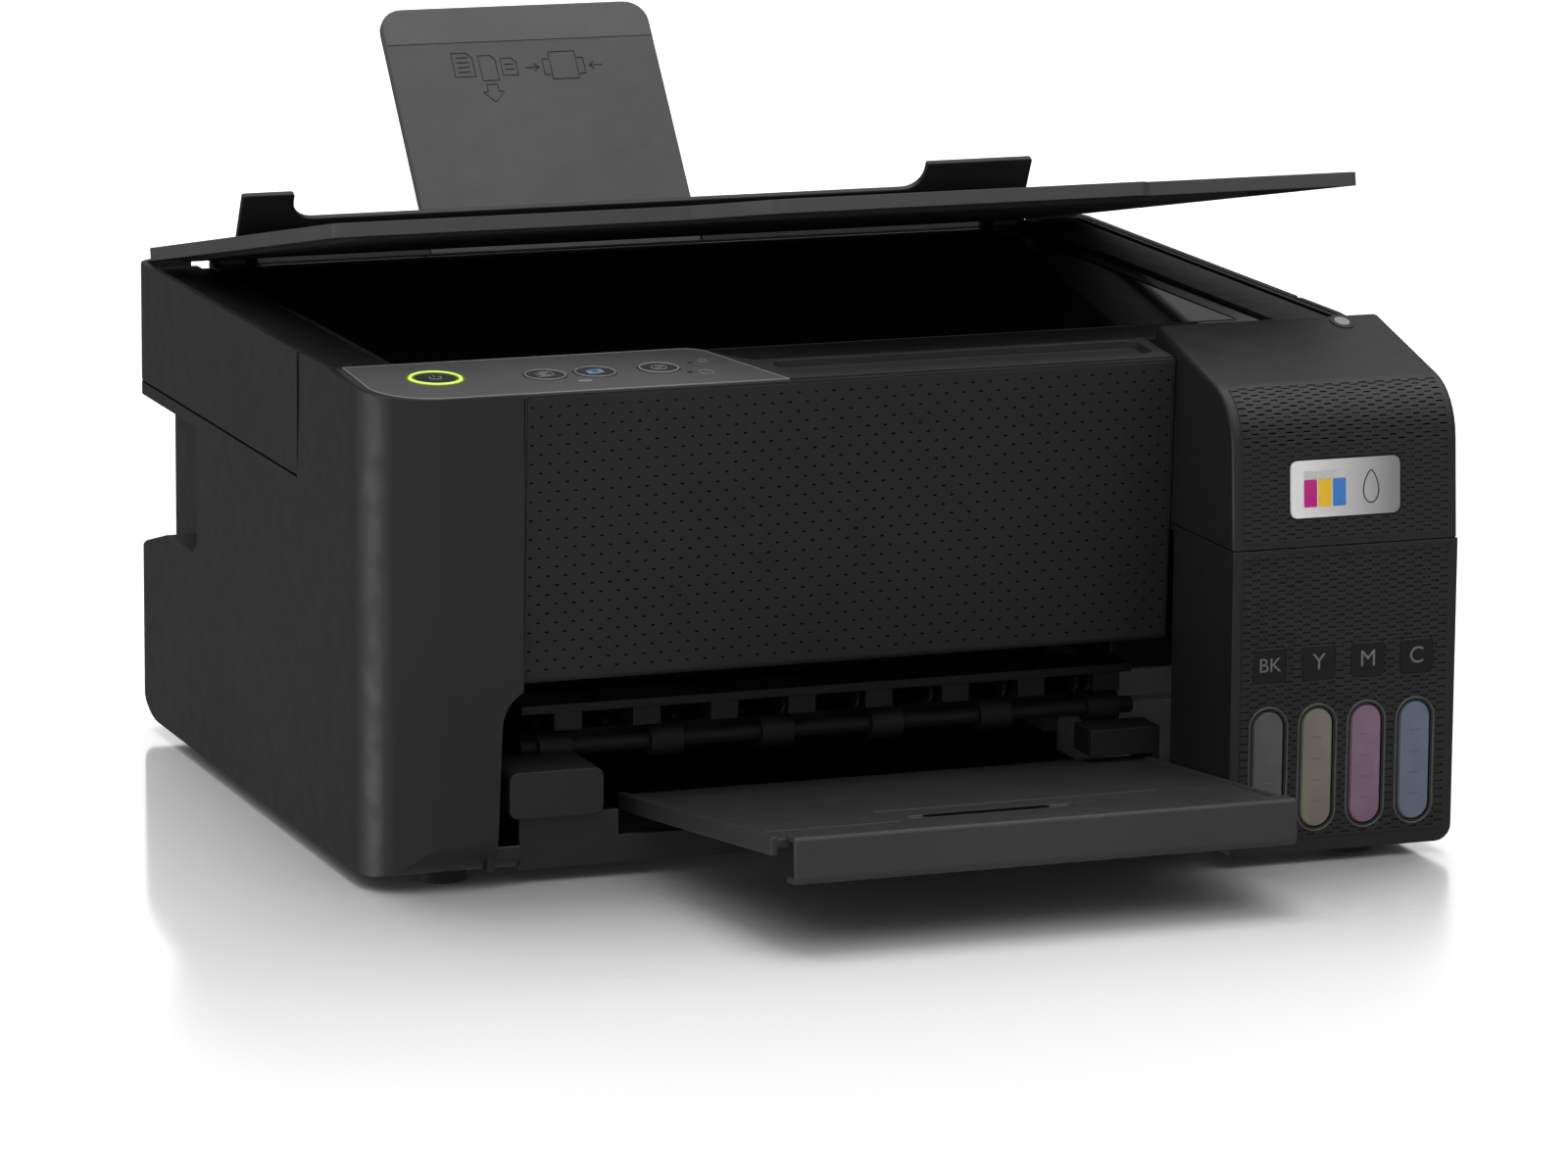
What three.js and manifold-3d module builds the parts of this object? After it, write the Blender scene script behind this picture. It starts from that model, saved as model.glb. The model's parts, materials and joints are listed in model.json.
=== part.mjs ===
// Ink-tank all-in-one inkjet printer: printer base, flatbed scanner unit, document lid, rear paper
// feeder, sliding output tray and a front ink-tank unit, each with its own moving pieces.
// Millimetres. +X is the printer's right, +Y runs to its rear, +Z is up. While building, y = 0 is the
// front panel's top edge and z = 0 the table; the last lines move the origin to the middle of the base.
import * as THREE from "three";
import { mergeVertices } from "three/addons/utils/BufferGeometryUtils.js";
import Module from "manifold-3d";

const wasm = await Module();
wasm.setup();

// ---------------------------------------------------------------- driving dimensions
const BODY_WIDTH = 375; // side wall to side wall
const BODY_DEPTH = 293; // front panel to rear wall
const RIM = 173.5; // top of the side walls
const SOLE = 5; // underside of the case above the table
const WALL = 2.4; // moulded wall thickness
const GAP = 0.4; // gap left between separate pieces
const FRONT_CORNER = 26; // plan radius of the front left corner
const REAR_CORNER = 12; // plan radius of the rear corners
const FRONT_SOLE = 14; // side-view radius under the front
const REAR_SOLE = 28; // side-view radius under the rear

const BLOCK_WIDTH = 53.5; // plain block left of the front panel
const TANK_WIDTH = 84.1; // ink-tank unit, measured from the right wall
const TANK_REACH = 51.5; // how far the tank unit stands out in front
const TANK_SOLE = 4.2; // underside of the tank unit
const TANK_TOP = 111; // seam between tank housing and tank cover
const TANK_WALL = 2.2; // tank housing and cover wall
const COVER_CREST = 178.8; // highest edge of the tank cover
const COVER_END = 19.8; // rear face of the tank cover
const COVER_SHOULDER = 22; // radius over the top of the tank cover's front

const PANEL_TOP = 169.7; // front panel, top edge
const PANEL_BOTTOM = 69.7; // front panel, bottom edge and top of the paper exit
const PANEL_LEAN = 5; // how far the bottom edge is set back
const DECK_SLOPE = THREE.MathUtils.degToRad(4); // control panel and ledge rise to the rear
const DECK_FRONT = 170; // height of the deck at its front edge
const DECK_DEPTH = 49.6; // control panel, front to rear
const LEDGE_DEPTH = 29.6; // ledge in front of the lid, front to rear
const PLATE = 1.6; // control panel plate thickness

const SEAM_Y = 86.2; // front edge of the scanner unit's side skirts
const SEAM_Z = 130.4; // bottom edge of the side skirts
const BED = 171.5; // top face of the scanner bed
const GLASS = 2.4; // glass thickness
const SCAN_HINGE = { y: BODY_DEPTH - 10, z: 166 }; // scanner unit hinge axis

const LID_HINGE = { y: BODY_DEPTH - 10, z: 172.2 }; // document lid hinge axis
const LID_OPEN = THREE.MathUtils.degToRad(10.74); // lid angle as it stands
const LID_UNDER = RIM + GAP; // underside of the closed lid
const LID_THICK = 4.8;
const LID_PLATE = 2.2; // the lid's top skin
const MAT = 3.4; // document mat thickness

const FEED_LEAN = THREE.MathUtils.degToRad(38.6); // feeder slope away from the vertical
const FEED_POINT = { y: BODY_DEPTH + 11, z: 183 }; // a point on the feeder's front face
const SUPPORT_WIDTH = 107;
const SUPPORT_LEFT = -72.4; // left edge of the paper support
const SUPPORT_THICK = 4;
const SUPPORT_UP = 89.3; // support length above FEED_POINT
const SUPPORT_DOWN = 27; // support length below FEED_POINT
const GUARD_HINGE = { y: BODY_DEPTH + 2, z: 173 };
const GUARD_LEAN = THREE.MathUtils.degToRad(26); // the flipped-forward guard leans this far forward
const GUARD_THICK = 2.5;

const TRAY_SLOPE = THREE.MathUtils.degToRad(5.6); // the output tray rises to the front
const TRAY_POINT = { y: 15, z: 24.7 }; // a point on the tray's top face
const TRAY_REACH = 125; // tray length in front of TRAY_POINT
const TRAY_TAIL = 12; // tray length behind TRAY_POINT
const TRAY_PLATE = 3;

const CARRIAGE_WIDTH = 64;
const CARRIAGE_TRAVEL = 225;
const ROD_RADIUS = 4; // carriage guide rod
const GEAR_MODULE = 1;
const PINION_TEETH = 12;
const FEED_TEETH = 36;
const ARC_ERROR = 0.08; // how far a rounded corner may run inside its true arc

// ---------------------------------------------------------------- derived places
const HALF = BODY_WIDTH / 2;
const PANEL_LEFT = BLOCK_WIDTH - HALF;
const PANEL_RIGHT = HALF - TANK_WIDTH;
const INNER = HALF - WALL - GAP; // half width of what sits between the side walls
const REAR_INNER = BODY_DEPTH - WALL; // inner face of the rear wall
const FLOOR = SOLE + WALL; // top of the case's floor
const TANK_FRONT = -TANK_REACH;
const BASE_CUT = PANEL_RIGHT + 30.6; // right edge of the base pan and the rear cover

// ---------------------------------------------------------------- solids
// A closed geometry as a solid that can be joined and cut.
function solid(geometry) {
  geometry.deleteAttribute("normal");
  geometry.deleteAttribute("uv");
  const merged = mergeVertices(geometry, 1e-4);
  const made = new wasm.Mesh({
    numProp: 3,
    vertProperties: merged.attributes.position.array,
    triVerts: new Uint32Array(merged.index.array),
  });
  return new wasm.Manifold(made);
}

const union = (...parts) => parts.flat().reduce((all, next) => all.add(next));
const cut = (from, ...tools) => tools.flat().reduce((left, tool) => left.subtract(tool), from);

// A closed outline from corners [u, v, radius]: a corner with a radius becomes a true arc.
function outline(corners) {
  const at = (i) => {
    const [u, v] = corners[(i + corners.length) % corners.length];
    return new THREE.Vector2(u, v);
  };
  const points = corners.flatMap(([, , radius = 0], i) => {
    if (!radius) return [at(i)];
    const toLast = at(i - 1).sub(at(i)).normalize();
    const toNext = at(i + 1).sub(at(i)).normalize();
    const half = Math.acos(THREE.MathUtils.clamp(toLast.dot(toNext), -1, 1)) / 2;
    const reach = radius / Math.tan(half);
    const bisector = toLast.clone().add(toNext).normalize();
    const centre = at(i).addScaledVector(bisector, radius / Math.sin(half));
    const from = at(i).addScaledVector(toLast, reach).sub(centre);
    const to = at(i).addScaledVector(toNext, reach).sub(centre);
    const turn = Math.atan2(from.cross(to), from.dot(to));
    const finest = 2 * Math.acos(1 - ARC_ERROR / Math.max(radius, 2 * ARC_ERROR));
    const steps = Math.ceil(Math.abs(turn) / finest);
    return Array.from({ length: steps + 1 }, (_, k) => {
      return from.clone().rotateAround(new THREE.Vector2(), (turn * k) / steps).add(centre);
    });
  });
  return new THREE.Shape(points);
}

const slab = (shape, depth) => new THREE.ExtrudeGeometry(shape, { depth, bevelEnabled: false });

// An outline in (y, z) swept along X, in (x, z) swept along Y, and in (x, y) swept along Z.
const TO_X = new THREE.Matrix4().makeBasis(axis(0, 1, 0), axis(0, 0, 1), axis(1, 0, 0));
const TO_Y = new THREE.Matrix4().makeBasis(axis(1, 0, 0), axis(0, 0, 1), axis(0, -1, 0));
function axis(x, y, z) {
  return new THREE.Vector3(x, y, z);
}
const sweepX = (shape, x0, x1) => solid(slab(shape, x1 - x0).applyMatrix4(TO_X).translate(x0, 0, 0));
const sweepY = (shape, y0, y1) => solid(slab(shape, y1 - y0).applyMatrix4(TO_Y).translate(0, y1, 0));
const sweepZ = (shape, z0, z1) => solid(slab(shape, z1 - z0).translate(0, 0, z0));

function box(x0, x1, y0, y1, z0, z1) {
  const geometry = new THREE.BoxGeometry(x1 - x0, y1 - y0, z1 - z0);
  return solid(geometry.translate((x0 + x1) / 2, (y0 + y1) / 2, (z0 + z1) / 2));
}

// Round bars along each axis, from one end to the other, about a centre in the other two axes.
function bar(radius, length, sides) {
  return new THREE.CylinderGeometry(radius, radius, length, sides);
}
function rodX(radius, x0, x1, y, z, sides = 20) {
  return solid(bar(radius, x1 - x0, sides).rotateZ(Math.PI / 2).translate((x0 + x1) / 2, y, z));
}
function rodY(radius, y0, y1, x, z, sides = 20) {
  return solid(bar(radius, y1 - y0, sides).translate(x, (y0 + y1) / 2, z));
}
function rodZ(radius, z0, z1, x, y, sides = 24) {
  return solid(bar(radius, z1 - z0, sides).rotateX(Math.PI / 2).translate(x, y, (z0 + z1) / 2));
}

const rectangle = (u0, u1, v0, v1, r = 0) =>
  outline([[u0, v0, r], [u1, v0, r], [u1, v1, r], [u0, v1, r]]);

// ---------------------------------------------------------------- materials
function plastic(color, roughness = 0.6) {
  return new THREE.MeshStandardMaterial({ color, roughness, metalness: 0 });
}
const MATERIALS = {
  case: plastic(0x2b2b2b),
  deck: plastic(0x4a4a4a, 0.5),
  gloss: plastic(0x0a0a0a, 0.1),
  inner: plastic(0x161616, 0.7),
  grey: plastic(0x545454, 0.6),
  mat: plastic(0x5c5c5c, 0.9),
  rubber: plastic(0x101010, 0.95),
  white: plastic(0xd8d8d4, 0.5),
  board: plastic(0x1d5a34, 0.6),
  pad: plastic(0xc9c6bd, 1),
  steel: new THREE.MeshStandardMaterial({ color: 0xb8babd, roughness: 0.35, metalness: 1 }),
  badge: new THREE.MeshStandardMaterial({ color: 0xc8cacd, roughness: 0.3, metalness: 0.9 }),
};
const INKS = { black: 0x4c4c4e, yellow: 0x7a7460, magenta: 0x6b5064, cyan: 0x4c6478 };

// ---------------------------------------------------------------- scene graph
const printer = new THREE.Group();

// A frame tilted about X at a point of the side view.
function tilted({ y, z }, angle) {
  const group = new THREE.Group();
  group.position.set(0, y, z);
  group.rotation.x = angle;
  printer.add(group);
  return group;
}

function add(name, made, material, group = printer) {
  const { vertProperties, triVerts } = made.getMesh();
  const geometry = new THREE.BufferGeometry();
  geometry.setAttribute("position", new THREE.BufferAttribute(vertProperties, 3));
  geometry.setIndex(new THREE.BufferAttribute(triVerts, 1));
  geometry.computeVertexNormals();
  const mesh = new THREE.Mesh(geometry, material);
  mesh.name = name;
  group.add(mesh);
  return mesh;
}

// ---------------------------------------------------------------- outer case
// The case's outer form, shrunk all round by inset: its plan and its side view, crossed.
function envelope(inset) {
  const plan = outline([
    [-HALF + inset, inset, FRONT_CORNER - inset],
    [HALF - inset, inset],
    [HALF - inset, BODY_DEPTH - inset, REAR_CORNER - inset],
    [-HALF + inset, BODY_DEPTH - inset, REAR_CORNER - inset],
  ]);
  const side = outline([
    [inset, DECK_FRONT],
    [inset, SOLE + inset, FRONT_SOLE - inset],
    [BODY_DEPTH - inset, SOLE + inset, REAR_SOLE - inset],
    [BODY_DEPTH - inset, RIM + inset],
    [DECK_DEPTH, RIM + inset],
    [inset, DECK_FRONT + inset],
  ]);
  return sweepZ(plan, SOLE, RIM + 5).intersect(sweepX(side, -HALF, HALF));
}

const SHELL = envelope(0).subtract(envelope(WALL));

// Everything the scanner unit passes through as it lifts, seen from the side.
function scannerSweep() {
  const radius = Math.hypot(SCAN_HINGE.y - SEAM_Y, SCAN_HINGE.z - SEAM_Z) + GAP;
  const edge = (z) => SCAN_HINGE.y - Math.sqrt(radius ** 2 - (z - SCAN_HINGE.z) ** 2);
  const low = SEAM_Z - 2.5 * GAP;
  const steps = 6;
  const rise = (RIM + 5 - low) / steps;
  const arc = Array.from({ length: steps + 1 }, (_, k) => [edge(low + k * rise), low + k * rise]);
  return outline([[BODY_DEPTH + 10, low], ...arc, [BODY_DEPTH + 10, RIM + 5]]);
}
const SCANNER_SPACE = sweepX(scannerSweep(), -HALF - 1, HALF + 1);

// The finger and cable recess in the left wall, behind.
const NOTCH = { front: BODY_DEPTH - 82, low: 66, high: 125, depth: 15.5 };

function leftCover() {
  const wallEnd = -HALF + NOTCH.depth;
  const pocket = box(
    -HALF, wallEnd + WALL, NOTCH.front - WALL, BODY_DEPTH, NOTCH.low - WALL, NOTCH.high + WALL,
  ).intersect(envelope(0));
  const hollow = outline([
    [NOTCH.front, NOTCH.high],
    [NOTCH.front, NOTCH.low + 12, 8],
    [NOTCH.front + 40, NOTCH.low + 12],
    [BODY_DEPTH - 15, NOTCH.low + 5, 8],
    [BODY_DEPTH + 5, NOTCH.low - 4],
    [BODY_DEPTH + 5, NOTCH.high],
  ]);
  const exit = outline([
    [PANEL_LEFT - 9.5, SOLE - 1],
    [PANEL_LEFT - 7, PANEL_BOTTOM, 14],
    [PANEL_LEFT + 20, PANEL_BOTTOM],
    [PANEL_LEFT + 20, SOLE - 1],
  ]);
  const left = SHELL.intersect(box(-HALF, PANEL_LEFT, -1, BODY_DEPTH, 0, RIM + 5));
  const exitSide = box(
    PANEL_LEFT - 10 - WALL, PANEL_LEFT - 10, WALL - 1, EJECT.y + 24, FLOOR - 1, PANEL_BOTTOM - 2,
  );
  return cut(
    union(left, pocket, exitSide),
    SCANNER_SPACE,
    sweepX(hollow, -HALF - 1, wallEnd),
    sweepY(exit, -1, WALL + 1),
    deckSpace(),
  );
}

function rightCover() {
  const side = SHELL.intersect(box(BASE_CUT + GAP, HALF, GAP, BODY_DEPTH, 0, RIM + 5));
  const back = UPRIGHT + TANK_WALL + GAP;
  const cover = box(0, HALF + 1, -1, COVER_END + GAP, TANK_TOP - GAP, RIM + 10);
  const upright = box(0, INNER + GAP / 2, -1, back, TANK_TOP - GAP, RIM + 10);
  const crestRoom = box(0, HALF + 1, -1, back, COVER_HINGE.z - 2, RIM + 10);
  const behindTank = box(0, INNER, -1, WALL + 1, 0, TANK_TOP);
  return cut(side, SCANNER_SPACE, cover, upright, crestRoom, behindTank);
}

const PAN_TOP = 60; // top of the base pan's rear wall
function basePan() {
  const pan = SHELL.intersect(box(PANEL_LEFT + GAP, BASE_CUT, 6, BODY_DEPTH, 0, PAN_TOP));
  const lip = box(PANEL_LEFT + GAP, PANEL_RIGHT - GAP, 6, 6 + WALL, SOLE, TRAY_POINT.z - 10);
  const shelf = box(PANEL_LEFT + GAP, TRAY_LEFT - 7, 6, 6 + WALL, SOLE, TRAY_POINT.z - 1);
  const sockets = Object.values(SOCKETS).map(({ x, z, width, height }) => {
    const room = 2;
    const [w, h] = [width / 2 + room, height / 2 + room];
    return box(x - w, x + w, BODY_DEPTH - 93, BODY_DEPTH + 1, z - h, z + h);
  });
  return union(cut(pan, sockets), lip, shelf, trayGuides());
}

// Blocks that guide the tray at each side of the paper exit, the right one on a post over its edge.
function trayGuides() {
  const { z } = TRAY_POINT;
  const left = rectangle(PANEL_LEFT - 4, TRAY_LEFT - 13.4, z - 1.2, z + 14.8, 3);
  const rear = EJECT.y - EJECT.r - 1;
  const right = box(PANEL_RIGHT - 24, PANEL_RIGHT + 2, 14, rear, z + 2.3, z + 11.8);
  const post = box(PANEL_RIGHT - GAP, PANEL_RIGHT + 2, 14, rear, SOLE, z + 10);
  return union(sweepY(left, 3, rear), right, post);
}

// The rear wall between the side covers, stopping below the feeder's lip.
const REAR_TOP = 151;
function rearCover() {
  const wall = SHELL.intersect(
    box(PANEL_LEFT + GAP, BASE_CUT, BODY_DEPTH - 53, BODY_DEPTH, PAN_TOP + GAP, REAR_TOP),
  );
  const ribs = Array.from({ length: 5 }, (_, i) => {
    const x = PANEL_LEFT + 30 + i * 52;
    return box(x, x + 2, REAR_INNER - 4, REAR_INNER + 1, PAN_TOP + 3, REAR_TOP - 14);
  });
  return union(wall, ribs);
}

// A leaning plate with a turned edge along its top and bottom.
function frontPanel() {
  const section = outline([
    [0, PANEL_TOP],
    [PANEL_LEAN, PANEL_BOTTOM, 1.5],
    [PANEL_LEAN + 12, PANEL_BOTTOM],
    [PANEL_LEAN + 12, PANEL_BOTTOM + WALL],
    [PANEL_LEAN + WALL, PANEL_BOTTOM + WALL],
    [WALL, PANEL_TOP],
  ]);
  return cut(sweepX(section, PANEL_LEFT + GAP, PANEL_RIGHT - GAP), deckSpace());
}

// ---------------------------------------------------------------- deck, control panel, buttons
// Buttons by name: place across the panel, place up its slope, diameter.
const BUTTONS = {
  power: [-156.4, 27.4, 17],
  copy_mono: [-118.6, 24, 15],
  copy_colour: [-100.7, 24.2, 15],
  stop: [-77.6, 24.7, 14.6],
};
const BUTTON_TRAVEL = 0.8;
const buttonX = (x) => x + 187.5 - HALF; // buttons keep their distance from the left wall

// The control panel's outline, grown all round by a clearance.
function panelOutline(grow) {
  const left = -HALF + 5 - grow;
  return outline([
    [left, DECK_DEPTH + grow],
    [PANEL_LEFT + 79 + grow, DECK_DEPTH + grow, 9],
    [PANEL_LEFT + 95.2 + grow, 0.6 - grow],
    [left, 0.6 - grow, 21],
  ]);
}

const deck = tilted({ y: 0, z: DECK_FRONT }, DECK_SLOPE);

// The room the control panel needs, in the printer's own axes.
function deckSpace() {
  const room = sweepZ(panelOutline(GAP), -PLATE - GAP, 8);
  return room.rotate([THREE.MathUtils.radToDeg(DECK_SLOPE), 0, 0]).translate([0, 0, DECK_FRONT]);
}

function topLedge() {
  const plan = outline([
    [-INNER, WALL + GAP, FRONT_CORNER - WALL],
    [PANEL_RIGHT - GAP, WALL + GAP],
    [PANEL_RIGHT - GAP, LEDGE_DEPTH],
    [PANEL_LEFT + 92, LEDGE_DEPTH],
    [PANEL_LEFT + 77, DECK_DEPTH - 0.4],
    [-INNER, DECK_DEPTH - 0.4],
  ]);
  const groove = rectangle(PANEL_LEFT + 97, PANEL_RIGHT - 4.4, 8, LEDGE_DEPTH - 2.6, 5);
  const wells = Object.values(BUTTONS).map(([x, y, d]) => rodZ(d / 2 - 1, -9, 1, buttonX(x), y));
  return cut(
    sweepZ(plan, -6, 0),
    sweepZ(panelOutline(GAP), -PLATE - GAP, 1),
    sweepZ(groove, -3, 1),
    wells,
  );
}

function controlPanel() {
  const holes = Object.values(BUTTONS).map(([x, y, d]) =>
    rodZ(d / 2 + GAP / 2, -PLATE - 1, 1, buttonX(x), y, 28),
  );
  return cut(sweepZ(panelOutline(0), -PLATE, 0.2), holes);
}

// A round cap in the plate with a narrower stem down the ledge's well.
function button(x, y, diameter) {
  const cap = rodZ(diameter / 2, -PLATE + BUTTON_TRAVEL, 0.5, buttonX(x), y, 28);
  const stem = rodZ(diameter / 2 - 2, -5, 0, buttonX(x), y, 20);
  return union(cap, stem);
}

// ---------------------------------------------------------------- ink-tank unit
const INK_NAMES = Object.keys(INKS);
const TANK_PITCH = 18.4;
const tankX = (i) => HALF - 70 + TANK_PITCH * i; // centre line of each tank
const WINDOW = { width: 12.2, low: 12.5, high: 55 };
const FILLER = { y: -30, radius: 5.5 };
const CAP_HINGE = { y: -9, z: TANK_TOP + 5.5 };
const COVER_HINGE = { y: COVER_END + 3.6, z: 168 };
const UPRIGHT = COVER_HINGE.y + 3; // front face of the wall that carries the cover's hinge

const windowOutline = (i, shrink) => {
  const radius = WINDOW.width / 2 - shrink;
  return rectangle(
    tankX(i) - radius, tankX(i) + radius, WINDOW.low + shrink, WINDOW.high - shrink, radius - 0.01,
  );
};

// The housing round the tanks: front, sides, floor and filler deck, with the wall behind the cover.
function tankHousing() {
  const left = PANEL_RIGHT;
  const front = outline([
    [left, TANK_SOLE, 2],
    [HALF, TANK_SOLE, 6],
    [HALF, TANK_TOP],
    [left, TANK_TOP],
  ]);
  const outer = sweepY(front, TANK_FRONT, 0);
  const hollow = box(
    left + TANK_WALL, HALF - TANK_WALL,
    TANK_FRONT + TANK_WALL, 1,
    TANK_SOLE + TANK_WALL, TANK_TOP - TANK_WALL,
  );
  const deckBack = box(left + GAP, INNER, -WALL, UPRIGHT + TANK_WALL, TANK_TOP - TANK_WALL, TANK_TOP);
  const upright = box(
    left + GAP, INNER, UPRIGHT, UPRIGHT + TANK_WALL, TANK_TOP - 1, COVER_HINGE.z - 2.5,
  );
  const rib = box(
    tankX(0) - 8, tankX(3) + 8, CAP_HINGE.y - 1.5, CAP_HINGE.y + 1.5, TANK_TOP - 1, TANK_TOP + 2.8,
  );
  const windows = INK_NAMES.map((_, i) => sweepY(windowOutline(i, 0), TANK_FRONT - 1, TANK_FRONT + 5));
  const fillers = INK_NAMES.map((_, i) =>
    rodZ(FILLER.radius + GAP, TANK_TOP - 5, TANK_TOP + 1, tankX(i), FILLER.y),
  );
  return cut(union(cut(outer, hollow), deckBack, upright, rib, coverEars()), windows, fillers);
}

const COVER_LUGS = [tankX(0) - 4, tankX(3) + 2]; // left faces of the cover's two hinge lugs
const LUG = 4;

// The two ears and pins on the upright that carry the tank cover.
function coverEars() {
  return COVER_LUGS.map((x, i) => {
    const ear = i ? x - LUG - GAP : x + LUG + GAP;
    const plate = outline([
      [UPRIGHT + 1, COVER_HINGE.z - 9],
      [UPRIGHT + 1, COVER_HINGE.z - 2.5],
      [COVER_HINGE.y, COVER_HINGE.z + 3],
      [COVER_HINGE.y - 3, COVER_HINGE.z - 1],
    ]);
    const [from, to] = [Math.min(x, ear) + 0.5, Math.max(x, ear) + LUG - 0.5];
    const pin = rodX(1.2, from, to, COVER_HINGE.y, COVER_HINGE.z, 12);
    return union(sweepX(plate, ear, ear + LUG), pin);
  });
}

// One tank: a block of ink behind the housing's window, with its window boss and filler neck.
function inkTank(i) {
  const side = (TANK_PITCH - 1) / 2;
  const body = box(
    tankX(i) - side, tankX(i) + side,
    TANK_FRONT + TANK_WALL + GAP, -10,
    TANK_SOLE + TANK_WALL + GAP, TANK_TOP - TANK_WALL - GAP,
  );
  const boss = sweepY(windowOutline(i, GAP), TANK_FRONT + 0.3, TANK_FRONT + TANK_WALL + 2);
  const neck = rodZ(FILLER.radius, TANK_TOP - 6, TANK_TOP + 3, tankX(i), FILLER.y);
  return union(body, boss, neck);
}

// A stopper over the filler neck on an arm that hinges behind it.
function tankCap(i) {
  const floor = TANK_TOP + 3 + GAP;
  const stopper = rodZ(7.4, floor, floor + 6, tankX(i), FILLER.y);
  const arm = box(tankX(i) - 3.5, tankX(i) + 3.5, FILLER.y, CAP_HINGE.y, floor + 1, floor + 3);
  const knuckle = rodX(2, tankX(i) - 6, tankX(i) + 6, CAP_HINGE.y, CAP_HINGE.z, 12);
  return union(stopper, arm, knuckle);
}

// Side view of the tank cover, drawn in by inset.
function coverOutline(inset) {
  return outline([
    [TANK_FRONT + inset, TANK_TOP + GAP - (inset ? 1 : 0)],
    [TANK_FRONT + 3.3 + inset, 162 - 0.6 * inset, COVER_SHOULDER - inset],
    [COVER_END - inset, COVER_CREST - 1.25 * inset, 2.5 - inset],
    [COVER_END - inset, COVER_HINGE.z - 2 - 2 * inset],
    [COVER_END - inset - 3, TANK_TOP + GAP - (inset ? 1 : 0)],
  ]);
}

const BADGE = { width: 41, height: 19.8, z: 131.2, thick: 1.2 };
const BADGE_X = HALF - 42.5;

function tankCover() {
  const outer = sweepX(coverOutline(0), PANEL_RIGHT, HALF);
  const hollow = sweepX(coverOutline(TANK_WALL), PANEL_RIGHT + TANK_WALL, HALF - TANK_WALL);
  const back = box(PANEL_RIGHT + TANK_WALL, HALF - TANK_WALL, 0, COVER_END + 1, TANK_TOP, COVER_HINGE.z - 3);
  const lugs = COVER_LUGS.map((x) => {
    const disc = rodX(3, x, x + LUG, COVER_HINGE.y, COVER_HINGE.z, 16);
    const web = box(x, x + LUG, COVER_END - 1, COVER_HINGE.y, COVER_HINGE.z - 2, COVER_HINGE.z + 2.5);
    return cut(union(disc, web), rodX(1.5, x - 1, x + LUG + 1, COVER_HINGE.y, COVER_HINGE.z, 12));
  });
  const badgeSeat = badgePlate(GAP);
  return cut(union(cut(outer, hollow, back), lugs), badgeSeat);
}

// The maker's plate on the cover's sloping front, grown by a clearance.
function badgePlate(grow) {
  const lean = Math.atan2(3.3, 162 - TANK_TOP);
  const [w, h] = [BADGE.width / 2 + grow, BADGE.height / 2 + grow];
  const plate = sweepY(
    rectangle(-w, w, -h, h, 2.5),
    grow ? -5 : -BADGE.thick / 2,
    BADGE.thick / 2 + grow,
  );
  const front = TANK_FRONT + (BADGE.z - TANK_TOP) * Math.tan(lean);
  return plate.rotate([-THREE.MathUtils.radToDeg(lean), 0, 0]).translate([BADGE_X, front, BADGE.z]);
}

// ---------------------------------------------------------------- scanner unit
const GLASS_AREA = { x0: -HALF + 26, x1: HALF - 37.5, y0: 56, y1: BODY_DEPTH - 17 };
const APERTURE = 4; // width of the ledge that the glass rests on
const RAIL_X = HALF - 28.1; // inner edge of the raised rail beside the bed
const POST_X = HALF - 25.5; // inner face of each scanner hinge post
const POST = 3.6; // hinge post width
const KNUCKLE_X = HALF - 39.5; // inner end of each lid knuckle
const KNUCKLE = 10;

// Where the case's rear face runs, clear of the paper on the feeder, at a height z.
const PAPER_ROOM = 7.7;
const feederSide = (z) => FEED_POINT.y - PAPER_ROOM + (z - FEED_POINT.z) * Math.tan(FEED_LEAN);

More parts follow.
